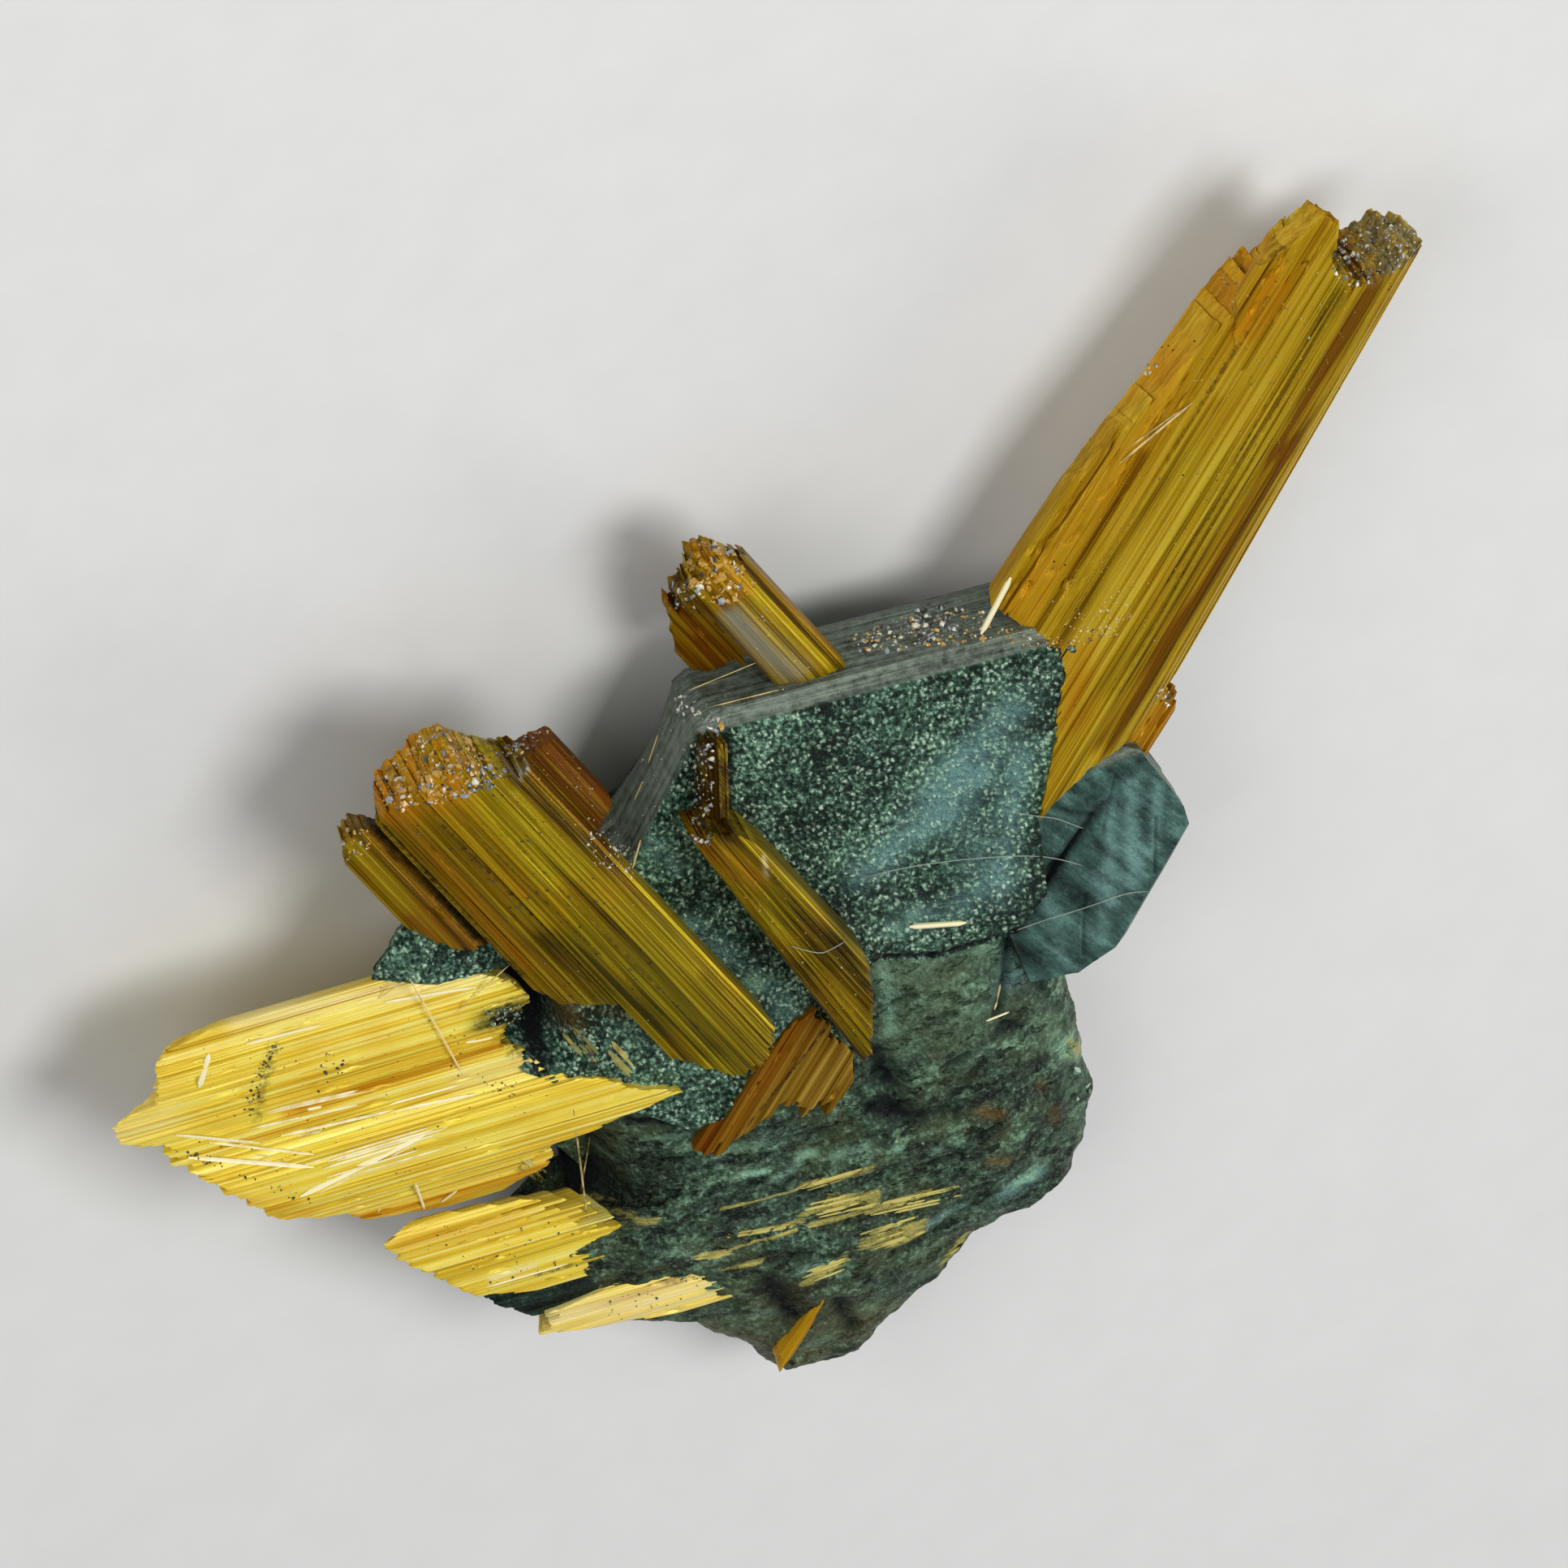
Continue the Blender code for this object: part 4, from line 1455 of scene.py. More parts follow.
SPEAR = Rutile("rutile_spear", Slot.GOLDEN, SPEAR_AXIS, (
    Band(((-0.9, 2.8, 11.55, 1.8, 2.4), (-0.62, 1.6, 11.5, 1.5, 2.56), (-0.45, 1.3, 11.22, 1.4, 2.6),
        (-0.2, 1.0, 10.9, 1.35, 2.63), (0.12, 0.0, 10.75, 1.35, 2.65), (0.5, 1.2, 10.8, 1.35, 2.64),
        (0.8, 1.9, 11.1, 1.35, 2.63), (1.1, 2.7, 11.2, 1.45, 2.62), (1.4, 3.0, 10.9, 1.5, 2.6),
        (1.62, 3.1, 10.4, 1.5, 2.56)), laths=54, hinge=6.0, lean_low=0.0445, lean_high=-0.01,
        undercut=(0.1, 0.08), fracture=0.1, relief=0.01, seed=11),
    Band(((1.58, 3.1, 10.5, 1.4, 2.5), (1.72, 3.1, 10.2, 1.4, 2.42), (1.88, 3.15, 9.5, 1.4, 2.3),
        (2.1, 3.2, 7.8, 1.5, 2.14), (2.4, 3.3, 6.1, 1.55, 1.95)), laths=16, hinge=6.0, lean_low=-0.01,
        lean_high=-0.035, relief=0.03, ragged=0.16, chips=40, seed=12),
    Band(((1.0, 8.6, 11.4, 1.95, 2.63), (1.25, 8.8, 11.8, 1.98, 2.62), (1.5, 9.0, 11.85, 2.0, 2.56),
        (1.7, 9.3, 11.2, 2.05, 2.46), (1.9, 9.8, 10.65, 2.1, 2.36)), laths=14, relief=0.015, ragged=0.03,
        fracture=0.06, chips=12, seed=13)), GOLD,
    # The tone and amber strokes at across 1.75 to 2.2 lighten the left part, which the lights leave in shade:
    # painted light
    marks(tone=((10.8, 0.02, 7.5, -0.28, 0.22, -3.4), (7.5, -0.28, 1.6, -0.36, 0.22, -3.4),
        (3.2, 2.1, 10.4, 1.75, 0.45, 0.8), (11.3, -0.55, 3.0, -0.85, 0.12, 0.7),
        (10.6, 0.52, 2.6, 0.1, 0.18, -1.2), (8.2, 1.42, 3.2, 1.48, 0.09, -1.8),
        (6.8, 1.85, 3.3, 1.8, 0.07, -1.8), (11.0, 1.0, 3.2, 0.85, 0.28, 0.5)),
    amber=((10.8, 0.02, 7.5, -0.28, 0.22, 0.6), (7.5, -0.28, 1.6, -0.36, 0.22, 0.6),
        (3.0, 2.2, 10.4, 1.8, 0.42, 0.8), (9.6, 1.5, 11.9, 1.5, 0.3, 0.6), (3.2, 1.1, 1.9, 0.45, 0.3, 0.9)),
    soil=((10.6, 0.68, 3.0, 0.24, 0.012, 0.42), (10.6, 0.58, 3.2, 0.14, 0.01, 0.36),
        (10.5, 0.47, 2.6, 0.03, 0.012, 0.45), (10.5, 0.38, 2.2, -0.08, 0.01, 0.36),
        (11.0, -0.28, 2.4, -0.66, 0.01, 0.4), (10.2, 1.6, 3.3, 1.58, 0.02, 0.5),
        (11.55, -0.8, 11.0, 0.2, 0.14, 0.6), (10.95, 0.55, 11.3, 1.0, 0.07, 0.9)),
    sheen=((11.7, -0.7, 11.1, -0.1, 0.1, 0.5), (10.95, 0.0, 11.0, 0.6, 0.08, 0.4))))

SPEAR_FOOT = Rutile("rutile_spear_foot", Slot.ORANGE, SPEAR_AXIS, (
    Band(((-1.85, 1.05, 1.9, 1.6, 1.95), (-1.6, 1.1, 2.3, 1.4, 2.05), (-1.2, 1.25, 2.45, 1.4, 2.1)), laths=10,
        relief=0.02, chips=4, seed=15),), AMBER,
    marks(soil=((2.3, -1.5, 2.5, -1.4, 0.12, 0.8),)))

TOP_STUB = Rutile("rutile_top_stub", Slot.OLIVE, STUB_AXIS, (
    Band(((-0.94, -0.5, 3.15, 1.5, 2.1), (-0.6, -0.6, 3.7, 1.35, 2.2), (-0.25, -0.6, 3.75, 1.3, 2.2),
        (0.06, -0.5, 3.3, 1.35, 2.12)), laths=26, relief=0.01, ragged=0.05, fracture=0.2,
        undercut=(0.0, 0.35), seed=21),
    Band(((-0.1, 0.9, 2.9, 1.1, 1.8), (0.3, 0.9, 2.9, 1.05, 1.7), (0.6, 0.9, 2.4, 1.1, 1.6),
        (0.95, 1.0, 1.75, 1.2, 1.45)), laths=10, relief=0.03, ragged=0.08, fracture=0.2, chips=6, seed=22)),
        OLIVE,
    marks(sheen=((0.5, -0.28, 2.4, -0.2, 0.2, 0.75),),
    amber=((2.8, -0.5, 3.7, -0.5, 0.35, 1.0), (0.0, -0.95, 2.6, -0.95, 0.08, 0.7),
        (1.2, 0.6, 2.6, 0.45, 0.5, 1.0)),
    tone=((1.0, 0.6, 2.7, 0.5, 0.5, -2.4),),
    soil=((2.5, 0.25, 2.9, 0.1, 0.15, 0.5),)))

LEFT_PRISM = Rutile("rutile_left_prism", Slot.OLIVE, PRISM_AXIS, (
    Band(((-0.1, 0.25, 8.6, 2.3, 3.28), (0.1, 0.1, 8.6, 2.2, 3.36), (0.4, -0.1, 8.95, 2.1, 3.4),
        (0.65, -0.1, 9.6, 2.1, 3.4), (0.95, 0.2, 9.75, 2.1, 3.38), (1.4, 1.2, 9.65, 2.1, 3.3)), laths=42,
        relief=0.015, ragged=0.025, fracture=0.14, undercut=(0.05, 0.3), seed=31),
    Band(((1.3, 2.6, 9.6, 2.1, 3.24), (1.6, 3.0, 9.55, 2.1, 3.18), (1.9, 3.2, 9.5, 2.1, 3.08),
        (2.12, 3.4, 9.25, 2.15, 2.95), (2.3, 3.8, 8.95, 2.25, 2.8)), laths=22, relief=0.02, ragged=0.03,
        fracture=0.12, undercut=(0.05, 0.3), chips=12, seed=32),
    Band(((-0.6, 6.2, 8.25, 2.4, 2.82), (-0.3, 6.1, 8.3, 2.35, 2.9), (0.05, 5.9, 8.35, 2.35, 2.92)), laths=12,
        relief=0.008, ragged=0.01, fracture=0.02, seed=33)), OLIVE,
    marks(amber=((9.5, 0.7, 9.4, 2.1, 0.5, 1.0), (4.5, 2.1, 9.2, 2.0, 0.3, 0.8),
        (6.4, 1.3, 9.0, 1.2, 0.35, 0.5), (6.0, -0.45, 8.6, -0.4, 0.42, 1.0)),
    tone=((9.5, 0.7, 9.4, 2.1, 0.5, 1.2), (6.0, -0.4, 8.4, -0.4, 0.5, -3.0), (2.5, 0.15, 8.4, 0.3, 0.1, 0.9),
        (1.0, 1.0, 5.0, 1.5, 0.35, -1.3), (6.2, 0.7, 9.0, 0.75, 0.28, 0.8)),
    # The soil line at across 2.25 is painted shadow in the groove beside the rear crystal
    soil=((1.5, 0.75, 8.0, 0.85, 0.02, 0.6), (2.2, 1.02, 8.4, 1.2, 0.016, 0.5),
        (3.2, 1.4, 8.6, 1.5, 0.03, 0.6), (4.2, 2.28, 9.0, 2.24, 0.05, 1.0)),
    moss=((0.4, 0.5, 4.0, 1.0, 0.6, 0.35),),
    sheen=((8.55, -0.6, 8.6, 0.1, 0.06, 0.9),)))

LEFT_REAR = Rutile("rutile_left_rear", Slot.OLIVE, PRISM_AXIS, (
    Band(((2.34, 5.0, 8.7, 2.1, 2.6), (2.6, 5.4, 9.1, 2.1, 2.8), (2.88, 5.9, 9.05, 2.15, 2.78),
        (3.08, 6.6, 8.65, 2.35, 2.7)), laths=14, relief=0.02, ragged=0.025, fracture=0.04,
        undercut=(0.0, 0.3), chips=5, seed=35),), UMBER,
    marks(amber=((5.2, 2.8, 6.8, 2.8, 0.2, 0.7), (5.0, 2.5, 8.8, 2.5, 0.1, 0.5)),
    # This soil line along the inner edge is painted shadow in the groove under the left prism
    soil=((5.4, 2.38, 8.8, 2.38, 0.08, 1.0),),
    tone=((7.0, 2.9, 9.0, 2.85, 0.2, 0.8),)))

CENTRE_BLADE = Rutile("rutile_centre_blade", Slot.OLIVE, BLADE_AXIS, (
    Band(((-1.1, 1.9, 5.2, 2.4, 3.42), (-1.0, 1.7, 5.75, 2.4, 3.5), (-0.8, 1.3, 6.1, 2.35, 3.54),
        (-0.5, 0.75, 6.35, 2.35, 3.55), (-0.1, 0.05, 6.4, 2.35, 3.55), (0.05, -0.05, 6.45, 2.4, 3.46)),
        laths=30, hinge=0.0, lean_low=0.0, lean_high=-0.064, relief=0.012, ragged=0.04, undercut=(0.0, 0.3),
        seed=41),
    Band(((-1.02, 5.6, 7.25, 2.55, 3.0), (-0.8, 5.5, 7.4, 2.5, 3.06), (-0.6, 5.6, 7.45, 2.55, 3.0)), laths=8,
        hinge=6.0, lean_low=-0.54, lean_high=-0.54, relief=0.015, chips=3, seed=42)), OLIVE,
    marks(tone=((7.6, -1.5, 6.4, -0.9, 0.35, -2.6), (-0.5, -0.3, 2.6, -0.6, 0.9, -1.3),
        (2.6, -0.6, 6.0, -0.6, 0.6, -0.6)),
    soil=((1.4, -0.8, 5.0, -0.92, 0.04, 0.5), (0.6, -0.4, 5.4, -0.45, 0.016, 0.6),
        (0.4, -0.15, 4.4, -0.15, 0.014, 0.5)),
    # The pale stroke near the tip is a painted highlight
    pale=((4.9, -0.85, 5.25, -1.0, 0.04, 0.6),),
    amber=((5.0, -0.7, 6.4, -0.4, 0.25, 0.7),)))

BROWN_WEDGE = Rutile("rutile_brown_wedge", Slot.BROWN, WEDGE_AXIS, (
    Band(((-1.5, 1.0, 2.5, 2.1, 2.55), (-1.3, -0.1, 2.4, 2.0, 2.66), (-1.1, -0.6, 2.15, 1.95, 2.72),
        (-0.75, -0.4, 1.5, 1.9, 2.75), (-0.55, -0.25, 1.25, 1.9, 2.74), (-0.1, 0.0, 1.35, 1.9, 2.7),
        (0.1, 0.1, 1.3, 1.95, 2.66), (0.5, 0.7, 1.05, 2.0, 2.6)), laths=24, relief=0.014, ragged=0.09,
        chips=8, seed=51),), BROWN,
    marks(amber=((-0.6, -1.05, 2.4, -1.4, 0.3, 0.9),),
    tone=((-0.6, -1.05, 2.4, -1.4, 0.3, -0.5), (0.2, 0.15, 1.2, 0.0, 0.4, 1.2)),
    soil=((-0.3, -0.72, 1.8, -1.0, 0.025, 0.7),)))

FAN_UPPER = Rutile("rutile_fan_upper", Slot.PALE, FAN_AXIS, (
    Band(((-0.6, 1.35, 6.95, 1.9, 2.42), (-0.3, 0.95, 6.8, 1.7, 2.46), (0.1, 0.7, 6.5, 1.6, 2.5),
        (0.35, 0.25, 6.2, 1.5, 2.62), (0.62, -0.4, 5.9, 1.5, 2.7), (0.94, -0.88, 5.6, 1.5, 2.72),
        (1.28, -1.6, 5.3, 1.5, 2.72), (1.45, -0.9, 5.15, 1.55, 2.68), (1.68, -0.25, 4.95, 1.55, 2.6),
        (1.92, 0.45, 4.6, 1.6, 2.46), (2.1, 0.6, 4.2, 1.7, 2.38), (2.3, 0.8, 3.6, 1.8, 2.33),
        (2.46, 1.0, 2.9, 1.9, 2.28)), laths=58, relief=0.02, ragged=0.06, ragged_root=0.05, chips=14,
        undercut=(0.1, 0.3), seed=61),
    Band(((-2.46, 3.0, 6.0, 1.98, 2.2), (-2.32, 1.4, 6.7, 1.95, 2.24), (-2.1, 1.6, 6.95, 1.9, 2.3),
        (-1.8, 1.1, 6.95, 1.9, 2.36), (-1.36, 0.8, 6.98, 1.95, 2.4), (-1.3, 0.8, 7.5, 2.2, 2.4),
        (-1.15, 0.95, 7.7, 2.2, 2.42), (-0.75, 1.25, 7.55, 2.15, 2.42), (-0.5, 1.35, 7.0, 2.1, 2.4)),
        laths=46, relief=0.02, ragged=0.04, fracture=0.04, chips=30, undercut=(0.1, 0.35), seed=62),
    Band(((1.95, 0.6, 4.1, 1.7, 2.2), (2.4, 0.3, 3.7, 1.7, 2.2), (2.7, 0.45, 3.1, 1.72, 2.16),
        (2.86, 0.9, 2.6, 1.75, 2.1), (3.0, 1.1, 2.0, 1.8, 2.06)), laths=10, relief=0.02, ragged=0.15,
        seed=63)), STRAW,
    marks(amber=((1.3, -0.55, 4.8, -0.45, 0.13, 1.0), (3.4, -0.2, 6.4, -0.1, 0.07, 0.6),
        (1.1, -0.9, 3.4, -0.8, 0.1, 0.4), (4.5, 1.7, 6.4, 0.5, 0.3, 0.5), (0.6, 2.75, 3.8, 2.6, 0.3, 1.0)),
    tone=((1.2, -0.55, 4.6, -0.45, 0.1, -1.6), (1.0, -1.75, 4.2, -1.6, 0.2, 0.8),
        (1.1, 1.2, 4.6, 1.3, 0.14, 0.9), (0.6, 2.8, 2.6, 2.85, 0.22, -1.6)),
    pale=((0.75, -0.1, 2.0, -0.1, 0.2, 0.45), (1.6, -2.1, 5.6, -2.5, 0.16, 0.5),
        (6.8, -1.1, 7.6, -1.1, 0.35, 0.45)),
    moss=((0.85, -1.15, 1.6, -1.15, 0.2, 1.0),),
    soil=((0.8, -1.1, 1.5, -1.2, 0.16, 0.9), (5.05, -1.9, 5.35, -0.5, 0.09, 0.55),
        (0.95, -0.5, 1.2, -1.2, 0.25, 0.7))))

FAN_LOWER = Rutile("rutile_fan_lower", Slot.PALE, FAN_AXIS, (
    Band(((3.14, 1.2, 2.7, 1.95, 2.12), (3.3, 0.7, 3.12, 1.9, 2.18), (3.5, 0.5, 2.98, 1.8, 2.2),
        (3.85, 0.2, 2.75, 1.6, 2.2), (4.45, -0.6, 2.15, 1.55, 2.2), (5.1, -1.5, 1.5, 1.6, 2.15),
        (5.38, -1.95, 0.4, 1.75, 2.1)), laths=40, relief=0.02, ragged=0.05, ragged_root=0.3, chips=18,
        undercut=(0.2, 0.5), seed=71),), STRAW,
    marks(amber=((0.9, 3.6, 2.8, 3.4, 0.3, 0.5),),
    pale=((0.6, 4.75, 1.3, 4.75, 0.06, 0.8),),
    soil=((-1.7, 5.05, 0.6, 4.95, 0.05, 0.5),)))

FAN_EDGE = Rutile("rutile_fan_edge", Slot.PALE, FAN_AXIS, (
    Band(((5.65, -2.2, -1.2, 1.8, 2.12), (5.9, -2.6, 0.35, 1.7, 2.18), (6.3, -2.85, 0.4, 1.7, 2.2),
        (6.48, -2.95, -0.3, 1.75, 2.16), (6.75, -3.05, -2.0, 1.85, 2.1)), laths=22, relief=0.02, ragged=0.08,
        ragged_root=0.1, chips=6, seed=73),), STRAW,
    marks(pale=((-2.4, 6.3, 0.3, 6.2, 0.5, 0.7),),
    amber=((-2.4, 5.85, -0.6, 6.05, 0.1, 0.6),),
    soil=((-2.2, 5.8, -1.6, 5.95, 0.08, 0.5),)))

ORANGE_SLIVER = Rutile("rutile_orange_sliver", Slot.ORANGE, SLIVER_AXIS, (
    Band(((0.1, -1.2, -0.2, 1.75, 2.24), (0.2, -1.35, 0.0, 1.75, 2.3), (0.32, -1.3, -0.05, 1.75, 2.24)),
        laths=6, relief=0.02, ragged=0.08, ragged_root=0.12, seed=75),), RUST)


RUTILES = (SPEAR, SPEAR_FOOT, TOP_STUB, LEFT_PRISM, LEFT_REAR, CENTRE_BLADE, BROWN_WEDGE, FAN_UPPER,
    FAN_LOWER, FAN_EDGE, ORANGE_SLIVER)


# ---- hematite


@dataclass(frozen=True)
class Plate(Mound):
    """The tabular crystal: a level basal face with chamfered edges and striated side faces."""

    level: float = 2.6
    chamfers: tuple[Six, ...] = ()
    grain: float = 0.012
    lumps: float = 0.1

    def height(self, flat: Array, ring: Array) -> Array:
        """The basal level, cut down by sloping planes along some edges, with a fine grain.

        Args:
            flat: Places seen from above.
            ring: Share of the way from the centre to the rim.

        Returns:
            Heights.
        """
        noise = Noise(self.seed)
        z = np.full(len(flat), self.level)
        wave = noise.fractal(np.column_stack((flat * 1.3, ring * 0.0)), 3)
        grain = noise.value(np.column_stack((flat * (9.0, 5.0), ring * 0.0)))
        z += 0.012 * wave + self.grain * grain
        for x0, y0, x1, y1, width, drop in self.chamfers:
            way = np.array((x1 - x0, y1 - y0)) / math.hypot(x1 - x0, y1 - y0)
            inward = (flat[:, 0] - x0) * -way[1] + (flat[:, 1] - y0) * way[0]
            slope = self.level + drop * (inward / width - 1.0)
            z = np.minimum(z, slope + 0.003 * wave)
        return z - self.sink(flat)

    def relief(self, places: Array, depth: Array) -> Array:
        """Ridges that run level along the wall, and lumps that grow downwards."""
        noise = Noise(self.seed + 1)
        lines = noise.value(np.column_stack((places[:, :2] * 0.2, places[:, 2] * 14.0)))
        lumps = noise.fractal(places * 1.7, 4)
        return 0.022 * lines + self.lumps * depth**2 * lumps

    def colour(self, shell: Shell) -> Paint:
        """Paint the strokes, and bare the chamfers and walls, which have no pebbles."""
        paint = paint_strokes(shell.points[:, :2], self.strokes)
        bare = ((self.level - 0.04 - shell.points[:, 2]) / 0.03).clip(0.0, 1.0)
        paint[Layer.BARE] = bare * (1.0 - (self.sink(shell.points[:, :2]) / 0.05).clip(0.0, 1.0))
        return paint


@dataclass(frozen=True)
class Mass(Mound):
    """The rough mass: a low dome with lumps, streaks and hollows."""

    profile: Outline = ((0.0, 2.45), (1.0, 1.55))
    lumps: float = 0.1
    streaks: float = 0.03
    fine: float = 0.016

    def height(self, flat: Array, ring: Array) -> Array:
        """The dome's profile, lumps of 1 and 0.35 mm, ridges on the fan's heading, less hollows.

        Args:
            flat: Places seen from above.
            ring: Share of the way from the centre to the rim.

        Returns:
            Heights.
        """
        noise = Noise(self.seed)
        stops = np.array(self.profile)
        level = np.zeros(len(flat))
        z = np.interp(ring, stops[:, 0], stops[:, 1])
        turn = math.radians(FAN_HEADING)
        along = flat[:, 0] * math.cos(turn) + flat[:, 1] * math.sin(turn)
        across = -flat[:, 0] * math.sin(turn) + flat[:, 1] * math.cos(turn)
        z += self.lumps * noise.fractal(np.column_stack((flat * 0.9, level)), 4, 0.55)
        z += self.streaks * noise.fractal(np.column_stack((along * 0.7, across * 4.5, level)), 3)
        z += self.fine * noise.value(np.column_stack((flat * 9.0, level + 3.0)))
        pits = noise.fractal(np.column_stack((along * 1.6, across * 3.2, level + 5.0)), 3, 0.6)
        z -= 1.6 * self.lumps * (pits - 0.25).clip(0.0)
        return z - self.sink(flat)

    def relief(self, places: Array, depth: Array) -> Array:
        """Lumps of 0.6 mm on the wall."""
        return 0.14 * Noise(self.seed + 1).fractal(places * 1.6, 4, 0.6)

    def colour(self, shell: Shell) -> Paint:
        """Paint the strokes, which fade below the rim."""
        return paint_strokes(shell.points[:, :2], self.strokes)


# The soil strokes at x 4.1 to 4.6 darken the hollow by the fan's root, and the thin ones darken the cracks:
# painted shade. The sheen strokes are painted sheen.
PLATE_STROKES = marks(sheen=((-1.16, -4.26, -3.31, -4.74, 0.32, 0.9), (-2.65, -4.9, -4.29, -5.73, 0.42, 0.95),
    (-2.92, -2.54, -4.13, -4.77, 0.28, 0.8), (-1.25, -2.84, -2.82, -2.19, 0.3, 0.7),
    (-2.81, -4.2, -2.77, -2.79, 0.35, 0.45), (1.56, -5.31, 1.26, -4.04, 0.22, 0.75),
    (1.16, -3.38, 0.89, -2.03, 0.25, 0.45), (1.45, -7.65, 1.24, -6.68, 0.2, 0.4)),
    pale=((-1.0, -2.74, -1.56, -2.89, 0.12, 0.35), (1.18, -3.51, 1.14, -3.25, 0.12, 0.8)),
    soil=((4.1, -6.1, 4.3, -4.7, 0.34, 0.8), (4.3, -4.9, 4.6, -4.2, 0.24, 0.8),
        (-0.66, -2.43, -1.41, -1.75, 0.07, 0.9), (-1.41, -1.75, -2.66, -1.22, 0.07, 0.9),
        (-2.66, -1.22, -3.43, -1.63, 0.08, 0.6), (-1.05, -3.25, -1.25, -2.84, 0.1, 0.6),
        (-2.89, -2.01, -3.03, -1.73, 0.06, 0.6), (-0.4, -8.63, 0.13, -7.11, 0.1, 0.8)),
    amber=((3.7, -6.0, 3.9, -4.6, 0.2, 0.9), (3.4, -4.7, 3.0, -4.2, 0.1, 0.5)))

